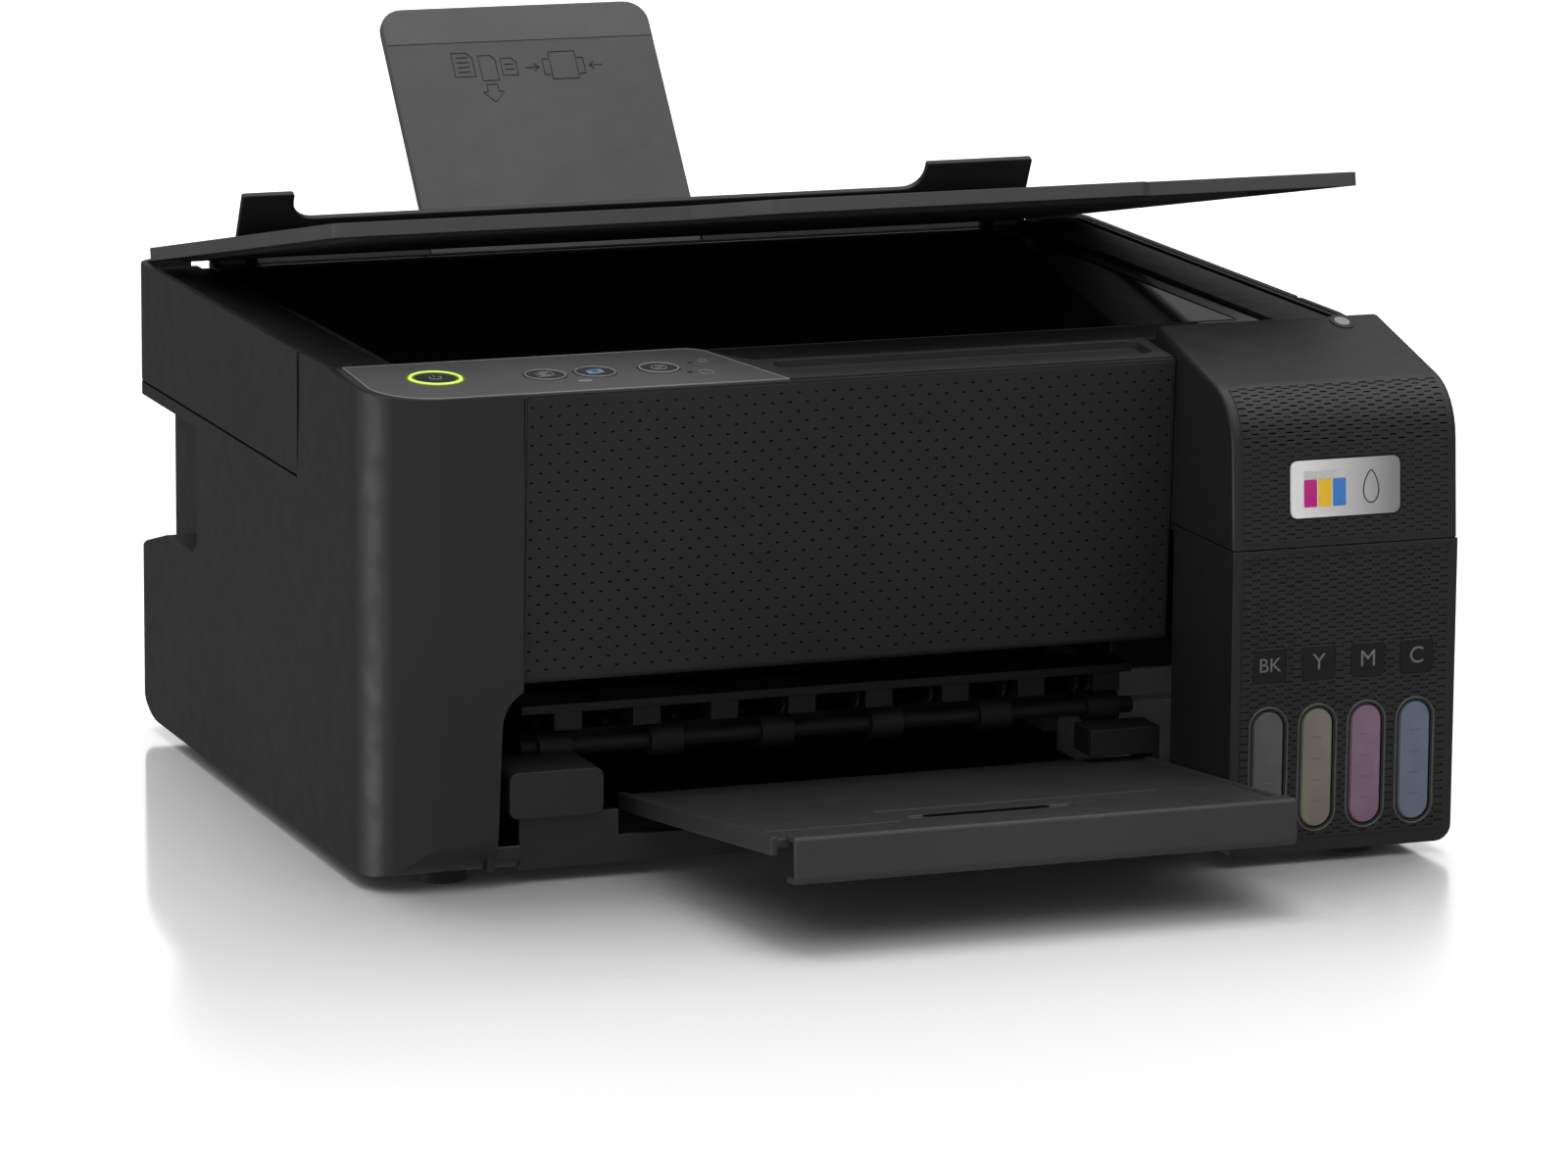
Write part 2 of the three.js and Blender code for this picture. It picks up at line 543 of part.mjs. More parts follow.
// The hollow tray under the glass, its skirts, front flange, rail and hinge seats.
function scannerCase() {
  const under = SEAM_Z;
  const rear = SCAN_HINGE.y;
  const inside = { low: under + WALL, high: BED - 5 };
  const section = outline([
    [54, under], [feederSide(under), under], [rear, BED - 5], [rear, BED],
    [50.2, BED], [50.2, BED - 5], [54, BED - 5],
  ]);
  const cavity = outline([
    [57, inside.low], [feederSide(inside.low) - 3.4, inside.low],
    [feederSide(inside.high) - 4, inside.high], [57, inside.high],
  ]);
  const flange = outline([
    [-INNER, 50.2], [PANEL_LEFT + 77.6, 50.2, 6], [PANEL_LEFT + 93.6, LEDGE_DEPTH + 0.6],
    [INNER, LEDGE_DEPTH + 0.6], [INNER, 62], [-INNER, 62],
  ]);
  const rail = box(RAIL_X, INNER, LEDGE_DEPTH + 0.6, rear, BED - 1, RIM - 0.3);
  const gutter = box(INNER - 5, INNER - 2, LEDGE_DEPTH + 4, rear - 4, BED, RIM + 1);
  const skirts = cut(
    envelope(0).intersect(box(-HALF, HALF, SEAM_Y, BODY_DEPTH, under, RIM + 5)),
    box(-INNER, INNER, 0, BODY_DEPTH, 0, RIM + 10).intersect(envelope(WALL)),
    box(-POST_X - POST - GAP, POST_X + POST + GAP, 0, BODY_DEPTH + 1, 0, RIM + 10),
  );
  const ties = [-1, 1].map((s) => {
    return box(...spanX(s, INNER - 3, HALF - GAP), SEAM_Y + 1, rear - 8, under + 20, under + 26);
  });
  const { x0, x1, y0, y1 } = GLASS_AREA;
  const body = cut(
    union(sweepX(section, -INNER, INNER), sweepZ(flange, BED - 5, BED), cut(rail, gutter), skirts, ties),
    sweepX(cavity, -INNER + WALL, RAIL_X - WALL),
    box(x0 + APERTURE, x1 - APERTURE, y0 + APERTURE, y1 - APERTURE, BED - 12, BED + 1),
    box(x0, x1, y0, y1, BED - GLASS - 0.1, BED + 1),
  );
  return cut(union(body, hingeSeats()), hingeRooms());
}

// Lugs for the scanner hinge pins, and the ears and pins that carry the lid.
function hingeSeats() {
  return [-1, 1].flatMap((s) => {
    const lug = spanX(s, POST_X + POST + GAP, POST_X + POST + GAP + 7);
    const ears = [KNUCKLE_X - GAP - 4, KNUCKLE_X + KNUCKLE + GAP].map((x) => {
      const [x0, x1] = spanX(s, x, x + 4);
      const pinReach = x < KNUCKLE_X ? [x, x + 7] : [x - 3, x + 4];
      const { y, z } = LID_HINGE;
      const plate = outline([
        [y - 5, BED - 2], [y - 1.5, z + 1.4, 1], [y + 1.5, z + 1.4, 1],
        [y + 1.5, BED - 6], [y - 5, BED - 6],
      ]);
      return union(sweepX(plate, x0, x1), rodX(1.1, ...spanX(s, ...pinReach), y, z, 10));
    });
    return [rodX(4, ...lug, SCAN_HINGE.y, SCAN_HINGE.z, 16), ...ears];
  });
}

function hingeRooms() {
  return [-1, 1].flatMap((s) => {
    const { y, z } = SCAN_HINGE;
    const bore = rodX(2.4, ...spanX(s, POST_X, POST_X + POST + GAP + 8), y, z, 16);
    const post = box(...spanX(s, POST_X - 1, POST_X + POST + GAP), y - 7, y + 6, 140, RIM + 4);
    const knuckle = box(
      ...spanX(s, KNUCKLE_X - GAP, KNUCKLE_X + KNUCKLE + GAP),
      LID_HINGE.y - 5, LID_HINGE.y + 6,
      LID_HINGE.z - 6, RIM + 4,
    );
    return [bore, post, cut(knuckle, ...lidPins(s))];
  });
}

// The pins that reach from the ears into a lid knuckle on one side.
function lidPins(s) {
  const outer = KNUCKLE_X + KNUCKLE;
  const ends = [[KNUCKLE_X - GAP - 1, KNUCKLE_X + 3], [outer - 3, outer + GAP + 1]];
  return ends.map(([x0, x1]) => rodX(1.1, ...spanX(s, x0, x1), LID_HINGE.y, LID_HINGE.z, 10));
}

// A stretch of X on the left (side -1) or right (side 1), smaller value first.
function spanX(side, from, to) {
  return side < 0 ? [-to, -from] : [from, to];
}

// A steel post on the chassis that carries the scanner unit on a pin.
function scannerHinge(s) {
  const post = outline([
    [REAR_INNER - 3.4, 100], [REAR_INNER - GAP, 100], [REAR_INNER - GAP, SCAN_HINGE.z + 2],
    [SCAN_HINGE.y + 2, SCAN_HINGE.z + 3.6, 2], [SCAN_HINGE.y - 3.6, SCAN_HINGE.z + 3.6, 2],
    [SCAN_HINGE.y - 3.6, SCAN_HINGE.z - 3.6, 2], [REAR_INNER - 3.4, SCAN_HINGE.z - 6],
  ]);
  const pin = rodX(2, ...spanX(s, POST_X + 1, POST_X + POST + GAP + 6), SCAN_HINGE.y, SCAN_HINGE.z, 16);
  return union(sweepX(post, ...spanX(s, POST_X, POST_X + POST)), pin);
}

function scannerGlass() {
  const { x0, x1, y0, y1 } = GLASS_AREA;
  return box(x0 + GAP, x1 - GAP, y0 + GAP, y1 - GAP, BED - GLASS + 0.3, BED + 0.3);
}

// The contact image sensor bar that travels under the glass.
function scanBar() {
  const x = -HALF + 37;
  const bar = box(x, x + 14, GLASS_AREA.y0 + 6, GLASS_AREA.y1 - 12, 150, BED - GLASS - 1);
  const carrier = box(x - 3, x + 17, 120, 190, 144, 152);
  return union(bar, carrier);
}

// ---------------------------------------------------------------- document lid
const lid = tilted(LID_HINGE, 0);
const LID_HALF = HALF - 2.5;
const LID_REAR = 1.5; // lid edge behind its hinge axis
const LID_BEVEL = 3; // bevel along the lid's upper rear edge

// The lid's plan from its hinge axis, drawn in by inset.
function lidPlan(inset) {
  const y = (front) => front - LID_HINGE.y + inset;
  return outline([
    [-LID_HALF + inset, LID_REAR - inset, 8 - inset],
    [-LID_HALF + inset, y(45.5), 4],
    [PANEL_LEFT + 74 - inset * 0.3, y(45.5), 8],
    [PANEL_LEFT + 98 + inset * 0.3, y(14), 8],
    [PANEL_RIGHT - 5 - inset, y(14), 3],
    [PANEL_RIGHT - inset, y(COVER_END + 3.4), 3],
    [LID_HALF - 4 - inset, y(COVER_END + 3.4)],
    [LID_HALF - inset, y(COVER_END + 8.4)],
    [LID_HALF - inset, LID_REAR - inset, 8 - inset],
  ]);
}

// A shallow tray upside down, with a web and a bored knuckle at each end of its rear edge. That edge
// is bevelled above, so that it clears the feeder as the lid stands up.
function documentLid() {
  const z = LID_UNDER - LID_HINGE.z;
  const top = z + LID_THICK;
  const bevel = outline([
    [LID_REAR + 1, top - LID_BEVEL - 1],
    [LID_REAR + 1, top + 1],
    [LID_REAR - LID_BEVEL - 1, top + 1],
  ]);
  const skin = cut(sweepZ(lidPlan(0), z, top), sweepX(bevel, -HALF, HALF));
  const hollow = sweepZ(lidPlan(WALL), z - 1, z + LID_THICK - LID_PLATE);
  const knuckles = [-1, 1].map((s) => {
    const ends = spanX(s, KNUCKLE_X, KNUCKLE_X + KNUCKLE);
    const web = box(...ends, -2, LID_REAR, 0, z + LID_THICK - 1);
    const bore = rodX(1.4, ends[0] - 1, ends[1] + 1, 0, 0, 12);
    return cut(union(rodX(2.6, ...ends, 0, 0, 16), web), bore);
  });
  const shell = cut(skin, hollow);
  return union(shell, knuckles);
}

// The soft mat that presses a page on the glass.
function lidMat() {
  const top = LID_UNDER - LID_HINGE.z + LID_THICK - LID_PLATE - 0.3;
  const plan = rectangle(-HALF + 12, RAIL_X - 5, 52 - LID_HINGE.y, -11, 3);
  return sweepZ(plan, top - MAT, top);
}

// ---------------------------------------------------------------- rear paper feeder
const feeder = tilted(FEED_POINT, -FEED_LEAN);
const guard = tilted(GUARD_HINGE, GUARD_LEAN);
const FRAME = { x0: -HALF + 45.1, x1: HALF - 29.1, low: -150, high: -24, top: -10, thick: 8 };
const CHANNEL_BACK = SUPPORT_THICK + 0.6;
const SUPPORT_RIGHT = SUPPORT_LEFT + SUPPORT_WIDTH;
const PAPER_RIGHT = 105; // the fixed edge that paper lies against
const PAPER_WIDTH = 210;

// In the feeder's frame y is the depth behind the paper face and z runs up the slope.
function feederFrame() {
  const plate = box(FRAME.x0, FRAME.x1, 0, FRAME.thick, FRAME.low, FRAME.high);
  const channel = box(
    SUPPORT_LEFT - GAP, SUPPORT_RIGHT + GAP, -1, CHANNEL_BACK, FRAME.low + 6, FRAME.top + 1,
  );
  // Between the arms the plate runs on up behind the guard, which closes the view through the slot.
  const raised = box(FRAME.x0 + ARM + 1, FRAME.x1 - ARM - 1, 0, FRAME.thick, FRAME.high - 1, FRAME.top);
  const fence = box(PAPER_RIGHT, PAPER_RIGHT + 4, -5, 1, -90, FRAME.high - 4);
  const slot = box(-PAPER_WIDTH + PAPER_RIGHT - 8, SUPPORT_LEFT - 4, 3, FRAME.thick + 1, -46, -42);
  const arms = [-1, 1].map((s) => guardArm(s));
  return union(cut(union(plate, raised), channel, slot), fence, arms);
}

// The guard's hinge centre, seen from the feeder's frame.
function guardCentre() {
  const dy = GUARD_HINGE.y - FEED_POINT.y;
  const dz = GUARD_HINGE.z - FEED_POINT.z;
  const c = Math.cos(FEED_LEAN);
  const s = Math.sin(FEED_LEAN);
  return { y: dy * c - dz * s, z: dy * s + dz * c };
}

const ARM = 4;
function guardArm(s) {
  const centre = guardCentre();
  const x0 = s < 0 ? FRAME.x0 : FRAME.x1 - ARM;
  const plate = outline([
    [centre.y + 3, FRAME.high - 12],
    [centre.y - 3, FRAME.high - 12],
    [centre.y - 3, centre.z + 2, 2.5],
    [centre.y + 3, centre.z + 2, 2.5],
  ]);
  const foot = box(x0, x0 + ARM, centre.y - 3, 1, FRAME.high - 12, FRAME.high);
  return cut(
    union(sweepX(plate, x0, x0 + ARM), foot),
    rodX(1.9, x0 - 1, x0 + ARM + 1, centre.y, centre.z, 14),
  );
}

function paperSupport() {
  const plan = outline([
    [SUPPORT_LEFT, -SUPPORT_DOWN, 1],
    [SUPPORT_RIGHT, -SUPPORT_DOWN, 1],
    [SUPPORT_RIGHT, SUPPORT_UP, 9],
    [SUPPORT_LEFT, SUPPORT_UP, 9],
  ]);
  return sweepY(plan, 0.1, SUPPORT_THICK);
}

// The one sliding guide, at the left edge of the paper.
function edgeGuide() {
  const x = PAPER_RIGHT - PAPER_WIDTH;
  const foot = box(x - 22, x, -2.4, -GAP, -70, FRAME.high - 4);
  const wall = box(x - 3, x, 1 - PAPER_ROOM * Math.cos(FEED_LEAN), -GAP, -70, FRAME.high - 4);
  return union(foot, wall);
}

// The flap that keeps things out of the feeder: a low bar between two taller wings.
function feederGuard() {
  const left = -HALF + 39;
  const right = HALF - 23;
  const low = 4;
  const bar = 15.2;
  const wing = 26.5;
  const shape = outline([
    [left, low], [left, wing, 0.8], [left + 20, wing, 0.8], [left + 20, bar, 8],
    [right - 43, bar, 8], [right - 43, wing, 0.8], [right, wing, 0.8], [right, low],
  ]);
  const ears = [[left, FRAME.x0 - GAP, -1], [FRAME.x1 + GAP, right, 1]].map(([x0, x1, s]) => {
    const knuckle = rodX(3, x0, x1, 0, 0, 16);
    const web = box(x0, x1, -GUARD_THICK / 2, GUARD_THICK / 2, 0, low + 1);
    const pin = rodX(1.5, ...(s < 0 ? [x1 - 1, x1 + ARM] : [x0 - ARM, x0 + 1]), 0, 0, 12);
    return union(knuckle, web, pin);
  });
  return union(sweepY(shape, -GUARD_THICK / 2, GUARD_THICK / 2), ears);
}

// ---------------------------------------------------------------- output tray
const tray = tilted(TRAY_POINT, -TRAY_SLOPE);
const TRAY_RIGHT = PANEL_RIGHT - 2 * GAP;
const TRAY_LEFT = PANEL_LEFT + 43;
const LIP_LEFT = TRAY_LEFT + 14;
const LIP_DEPTH = 9;
const EXTENSION = { x0: TRAY_LEFT + 31, x1: TRAY_RIGHT - 23, tail: 6, thick: 1.6 };

function outputTray() {
  const front = -TRAY_REACH + LIP_DEPTH + GAP;
  const taper = 9;
  const plan = outline([
    [TRAY_LEFT + taper, front], [TRAY_RIGHT, front], [TRAY_RIGHT, TRAY_TAIL], [TRAY_LEFT, TRAY_TAIL],
  ]);
  const leftRail = outline([
    [TRAY_LEFT + taper, front], [TRAY_LEFT + taper + WALL, front],
    [TRAY_LEFT + WALL, TRAY_TAIL], [TRAY_LEFT, TRAY_TAIL],
  ]);
  const rightRail = rectangle(TRAY_RIGHT - WALL, TRAY_RIGHT, front, TRAY_TAIL);
  const low = -TRAY_PLATE - 2.4;
  const runners = [EXTENSION.x0 - GAP - 3, EXTENSION.x1 + GAP].map((x) => {
    return box(x, x + 3, front, TRAY_TAIL, low, -1);
  });
  const middle = (TRAY_LEFT + TRAY_RIGHT) / 2;
  const recess = rectangle(middle - 30, middle + 30, front + 22, front + 28, 2);
  const rails = [leftRail, rightRail].map((rail) => sweepZ(rail, low, 0.8));
  return cut(union(sweepZ(plan, -TRAY_PLATE, 0), rails, runners), sweepZ(recess, -1, 1));
}

// The second stage: a plate under the tray that carries the front lip.
function trayExtension() {
  const top = -TRAY_PLATE - GAP;
  const plate = box(EXTENSION.x0, EXTENSION.x1, -TRAY_REACH + 1, -EXTENSION.tail, top - EXTENSION.thick, top);
  const section = outline([
    [-TRAY_REACH, -14.6, 3], [-TRAY_REACH, 1.4, 1.5], [-TRAY_REACH + LIP_DEPTH, 1.4],
    [-TRAY_REACH + LIP_DEPTH, -0.6], [-TRAY_REACH + 2.4, -0.6], [-TRAY_REACH + 2.4, -12.4],
    [-TRAY_REACH + LIP_DEPTH, -12.4], [-TRAY_REACH + LIP_DEPTH, -14.6],
  ]);
  return union(plate, sweepX(section, LIP_LEFT, TRAY_RIGHT));
}

// ---------------------------------------------------------------- paper path
const EJECT = { y: 36, z: 40, r: 5.5 };
const FEED = { y: 120, z: 44, r: 7 };
const PICKUP = { y: BODY_DEPTH - 73.3, z: 96.7, r: 10.5 };
const ROLLER_LEFT = PANEL_LEFT + 16;
const ROLLER_RIGHT = PANEL_RIGHT - 6;
const PLATEN = { front: 52, rear: 108, top: 44 };

// A steel shaft with rubber rolls along it, as one turning piece.
function roller({ y, z, r }, x0, x1, rolls, rollWidth) {
  const shaft = rodX(r * 0.55, x0 - 6, x1 + 6, y, z, 12);
  const pitch = (x1 - x0 - rollWidth) / Math.max(1, rolls - 1);
  const bands = Array.from({ length: rolls }, (_, i) => {
    const from = rolls === 1 ? (x0 + x1 - rollWidth) / 2 : x0 + i * pitch;
    return rodX(r, from, from + rollWidth, y, z, 16);
  });
  return union(shaft, bands);
}

// The beam over the eject rollers with its row of star-wheel holders.
function exitBeam() {
  const beam = box(ROLLER_LEFT - 8, ROLLER_RIGHT + 2, 26, 46, 54, 57);
  const holders = Array.from({ length: 8 }, (_, i) => {
    const x = ROLLER_LEFT + 4 + i * ((ROLLER_RIGHT - ROLLER_LEFT - 16) / 7);
    return box(x, x + 10, 27, 40, 47.5, 55);
  });
  return union(beam, holders);
}

function platen() {
  const plate = box(ROLLER_LEFT, ROLLER_RIGHT, PLATEN.front, PLATEN.rear, PLATEN.top - 7, PLATEN.top - 2);
  const ribs = Array.from({ length: 9 }, (_, i) => {
    const x = ROLLER_LEFT + 6 + (i * (ROLLER_RIGHT - ROLLER_LEFT - 14)) / 8;
    return box(x, x + 2, PLATEN.front + 3, PLATEN.rear - 3, PLATEN.top - 3, PLATEN.top);
  });
  return union(plate, ribs);
}

// A spur gear about an X axis, with flat-sided teeth and one tooth or gap centred on its top.
function gear({ y, z }, teeth, x0, x1, gapAtTop) {
  const pitch = (GEAR_MODULE * teeth) / 2;
  const step = (2 * Math.PI) / teeth;
  const start = Math.PI / 2 + (gapAtTop ? step / 2 : 0);
  const profile = [[-0.27, -1.2], [-0.12, 0.85], [0.12, 0.85], [0.27, -1.2]];
  const corners = Array.from({ length: teeth }, (_, i) =>
    profile.map(([share, rise]) => {
      const a = start + (i + share) * step;
      const r = pitch + rise * GEAR_MODULE;
      return [y + r * Math.cos(a), z + r * Math.sin(a)];
    }),
  );
  return sweepX(outline(corners.flat()), x0, x1);
}

const GEAR_X = ROLLER_LEFT - 20;
const PINION = { y: FEED.y, z: FEED.z + (GEAR_MODULE * (PINION_TEETH + FEED_TEETH)) / 2 };

const feedRoller = () => union(
  roller(FEED, ROLLER_LEFT, ROLLER_RIGHT, 5, 26),
  rodX(3.5, GEAR_X, ROLLER_LEFT - 2, FEED.y, FEED.z, 16),
  gear(FEED, FEED_TEETH, GEAR_X, GEAR_X + 5, true),
);
const motorPinion = () => cut(
  gear(PINION, PINION_TEETH, GEAR_X - 0.5, GEAR_X + 5.5, (PINION_TEETH / 2) % 2 === 1),
  rodX(1.5, GEAR_X - 1, GEAR_X + 6, PINION.y, PINION.z, 12),
);
const feedMotor = () => union(
  rodX(13, GEAR_X - 26, GEAR_X - 1.5, PINION.y, PINION.z, 24),
  rodX(1.4, GEAR_X - 2, GEAR_X + 5.5, PINION.y, PINION.z, 12),
);

// ---------------------------------------------------------------- print carriage
const CARRIAGE = { x1: HALF - 27, front: 54, rear: 110, low: 62, high: 112 };
CARRIAGE.x0 = CARRIAGE.x1 - CARRIAGE_WIDTH;
const ROD = { y: 96, z: 78 };
const FRAME_Y = CARRIAGE.rear + 8; // front face of the carriage frame
const BELT = { y0: CARRIAGE.rear + 1.5, y1: CARRIAGE.rear + 5.5, z: 100, r: 5, thick: 1.2 };
const PULLEY_X = HALF - 21;
const IDLER_X = CARRIAGE.x0 - CARRIAGE_TRAVEL - 14;

function printCarriage() {
  const body = box(CARRIAGE.x0, CARRIAGE.x1, CARRIAGE.front, CARRIAGE.rear, CARRIAGE.low, CARRIAGE.high);
  const slope = outline([
    [CARRIAGE.front - 1, CARRIAGE.high - 22],
    [CARRIAGE.front - 1, CARRIAGE.high + 1],
    [CARRIAGE.front + 22, CARRIAGE.high + 1],
  ]);
  const [from, to] = [CARRIAGE.x0 - 1, CARRIAGE.x1 + 1];
  const clampTop = BELT.z + BELT.r - BELT.thick - GAP;
  const clamp = box(
    CARRIAGE.x0 + 24, CARRIAGE.x0 + 36, CARRIAGE.rear - 1, BELT.y1, BELT.z - 1.5, clampTop,
  );
  const bore = rodX(ROD_RADIUS + 0.3, from, to, ROD.y, ROD.z, 16);
  return cut(union(cut(body, sweepX(slope, from, to)), clamp), bore);
}

const printHead = () => box(
  CARRIAGE.x0 + 10, CARRIAGE.x1 - 10,
  CARRIAGE.front + 8, CARRIAGE.rear - 12,
  PLATEN.top + 3, CARRIAGE.low - 0.3,
);

const guideRod = () => rodX(ROD_RADIUS, IDLER_X - 4, HALF - 8, ROD.y, ROD.z, 16);

// The folded sheet frame behind the carriage.
function carriageFrame() {
  const sheet = box(IDLER_X - 6, HALF - 6, FRAME_Y, FRAME_Y + 1.6, 60, 122);
  const fold = box(IDLER_X - 6, HALF - 6, FRAME_Y, FRAME_Y + 16, 120.4, 122);
  const shafts = rodY(3.4, FRAME_Y - 1, FRAME_Y + 3, PULLEY_X, BELT.z, 16);
  const gearRoom = box(IDLER_X - 7, ROLLER_LEFT - 4, FRAME_Y - 1, FRAME_Y + 3, 59, PINION.z + 15);
  const idler = rodY(BELT.r - BELT.thick - 0.6, FRAME_Y - 7, FRAME_Y + 1, IDLER_X, BELT.z, 16);
  return union(cut(union(sheet, fold), shafts, gearRoom), idler);
}

// The closed belt loop round the motor pulley and the idler.
function timingBelt() {
  const loop = (r) => rectangle(IDLER_X - r, PULLEY_X + r, BELT.z - r, BELT.z + r, r - 0.01);
  return cut(
    sweepY(loop(BELT.r), BELT.y0, BELT.y1),
    sweepY(loop(BELT.r - BELT.thick), BELT.y0 - 1, BELT.y1 + 1),
  );
}

const beltPulley = () => cut(
  rodY(BELT.r - BELT.thick - GAP, BELT.y0 - 0.5, FRAME_Y - 1.5, PULLEY_X, BELT.z, 20),
  rodY(1.4, BELT.y0 - 1, FRAME_Y, PULLEY_X, BELT.z, 12),
);
const carriageMotor = () => union(
  rodY(12.5, FRAME_Y + 2.4, FRAME_Y + 30, PULLEY_X - 0.5, BELT.z, 24),
  rodY(1.1, BELT.y0, FRAME_Y + 3, PULLEY_X, BELT.z, 12),
);

// ---------------------------------------------------------------- inside the base
const cappingStation = () => union(
  box(CARRIAGE.x0 + 8, CARRIAGE.x1 - 4, 56, 106, FLOOR + GAP, 36),
  box(CARRIAGE.x0 + 14, CARRIAGE.x1 - 14, 64, 96, 35, PLATEN.top + 2),
);
const wasteInkPad = () => box(HALF - 76, HALF - 10, 135, BODY_DEPTH - 53, FLOOR + GAP, FLOOR + 22);
const BOARD_REAR = BODY_DEPTH - 93; // clear of the side recess
const mainBoard = () => union(
  box(-HALF + 8, -HALF + 9.6, 62, BOARD_REAR, 24, 112),
  [
    [70, 96, 60, 84],
    [110, 132, 40, 62],
    [BOARD_REAR - 50, BOARD_REAR - 14, 70, 96],
  ].map(([y0, y1, z0, z1]) => box(-HALF + 9, -HALF + 14, y0, y1, z0, z1)),
);
const powerSupply = () => box(-HALF + 22, -HALF + 66, 160, BODY_DEPTH - 46, FLOOR + GAP, 56);

const SOCKETS = {
  mains: { x: PANEL_LEFT + 16.5, z: 40, width: 24, height: 15, deep: 15 },
  usb: { x: PANEL_LEFT + 50.5, z: 40, width: 14, height: 13, deep: 14 },
};

// A socket body set in the rear wall, open to the rear.
function socket({ x, z, width, height, deep }) {
  const skin = 1.6;
  const [w, h] = [width / 2, height / 2];
  const body = box(
    x - w - skin, x + w + skin, BODY_DEPTH - deep - 4, BODY_DEPTH, z - h - skin, z + h + skin,
  );
  const mouth = sweepY(rectangle(x - w, x + w, z - h, z + h, 3), BODY_DEPTH - deep, BODY_DEPTH + 1);
  return cut(body, mouth);
}

const CONTACT_END = BODY_DEPTH - 7; // the contacts stop inside the sockets' mouths
function acInlet() {
  const { x, z, deep } = SOCKETS.mains;
  const pins = [-4.3, 4.3].map((dx) => rodY(1.5, BODY_DEPTH - deep - 1, CONTACT_END, x + dx, z, 10));
  return union(socket(SOCKETS.mains), pins);
}

function usbPort() {
  const { x, z, deep } = SOCKETS.usb;
  const tongue = box(x - 3, x + 3, BODY_DEPTH - deep - 1, CONTACT_END, z - 2, z + 2);
  return union(socket(SOCKETS.usb), tongue);
}

// Feet by name: place, and the underside that each is stuck to.
const FEET = {
  foot_front_left: [-HALF + 32, 24, SOLE],
  foot_front_right: [HALF - 32, TANK_FRONT + 18, TANK_SOLE],
  foot_rear_left: [-HALF + 32, BODY_DEPTH - 45, SOLE],
  foot_rear_right: [HALF - 32, BODY_DEPTH - 45, SOLE],
};
const FOOT_RADIUS = 9;

// ---------------------------------------------------------------- assembly
add("base_pan", basePan(), MATERIALS.case);
add("left_cover", leftCover(), MATERIALS.case);
add("right_cover", rightCover(), MATERIALS.case);
add("rear_cover", rearCover(), MATERIALS.case);
add("front_panel", frontPanel(), MATERIALS.case);
add("top_ledge", topLedge(), MATERIALS.deck, deck);
add("control_panel", controlPanel(), MATERIALS.deck, deck);
for (const [name, [x, y, diameter]] of Object.entries(BUTTONS)) {
  add(`${name}_button`, button(x, y, diameter), MATERIALS.deck, deck);
}

add("tank_housing", tankHousing(), MATERIALS.case);
INK_NAMES.forEach((name, i) => {
  add(`ink_tank_${name}`, inkTank(i), plastic(INKS[name], 0.3));
  add(`tank_cap_${name}`, tankCap(i), MATERIALS.inner);
});
add("tank_cover", tankCover(), MATERIALS.case);
add("cover_badge", badgePlate(0), MATERIALS.badge);

add("scanner_case", scannerCase(), MATERIALS.case);
add("scanner_glass", scannerGlass(), MATERIALS.gloss);
add("scan_bar", scanBar(), MATERIALS.white);
add("scanner_hinge_left", scannerHinge(-1), MATERIALS.steel);
add("scanner_hinge_right", scannerHinge(1), MATERIALS.steel);
add("document_lid", documentLid(), MATERIALS.grey, lid);
add("lid_mat", lidMat(), MATERIALS.mat, lid);
lid.rotation.x = -LID_OPEN;

add("feeder_frame", feederFrame(), MATERIALS.inner, feeder);
add("paper_support", paperSupport(), MATERIALS.grey, feeder);
add("edge_guide", edgeGuide(), MATERIALS.inner, feeder);
add("feeder_guard", feederGuard(), MATERIALS.inner, guard);

add("output_tray", outputTray(), MATERIALS.deck, tray);
add("tray_extension", trayExtension(), MATERIALS.deck, tray);

add("exit_beam", exitBeam(), MATERIALS.inner);
add("eject_roller", roller(EJECT, ROLLER_LEFT, ROLLER_RIGHT, 6, 12), MATERIALS.rubber);
add("feed_roller", feedRoller(), MATERIALS.rubber);
add("motor_pinion", motorPinion(), MATERIALS.steel);
add("feed_motor", feedMotor(), MATERIALS.steel);
add("pickup_roller", roller(PICKUP, -20, 20, 1, 36), MATERIALS.rubber);
add("platen", platen(), MATERIALS.inner);

add("print_carriage", printCarriage(), MATERIALS.inner);
add("print_head", printHead(), MATERIALS.steel);
add("guide_rod", guideRod(), MATERIALS.steel);
add("carriage_frame", carriageFrame(), MATERIALS.steel);
add("timing_belt", timingBelt(), MATERIALS.rubber);
add("belt_pulley", beltPulley(), MATERIALS.white);
add("carriage_motor", carriageMotor(), MATERIALS.steel);

add("capping_station", cappingStation(), MATERIALS.white);
add("waste_ink_pad", wasteInkPad(), MATERIALS.pad);
add("main_board", mainBoard(), MATERIALS.board);
add("power_supply", powerSupply(), MATERIALS.inner);
add("ac_inlet", acInlet(), MATERIALS.inner);
add("usb_port", usbPort(), MATERIALS.steel);
for (const [name, [x, y, sole]] of Object.entries(FEET)) {
  add(name, rodZ(FOOT_RADIUS, 0, sole - 0.3, x, y), MATERIALS.rubber);
}

// The origin goes to the middle of the printer's footprint, on the table.
printer.updateMatrixWorld(true);
const extent = new THREE.Box3().setFromObject(printer, true);
const centre = extent.getCenter(new THREE.Vector3());
printer.position.set(-centre.x, -centre.y, -extent.min.z);

export default printer;
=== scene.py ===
"""Ink-tank inkjet printer: finishes, fine relief, signs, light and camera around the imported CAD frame.

Places are written in millimetres from the front panel's top edge, as in the part, and turned into the
frame's metres by at(). +X is the printer's right, +Y runs to its rear, +Z is up.
"""

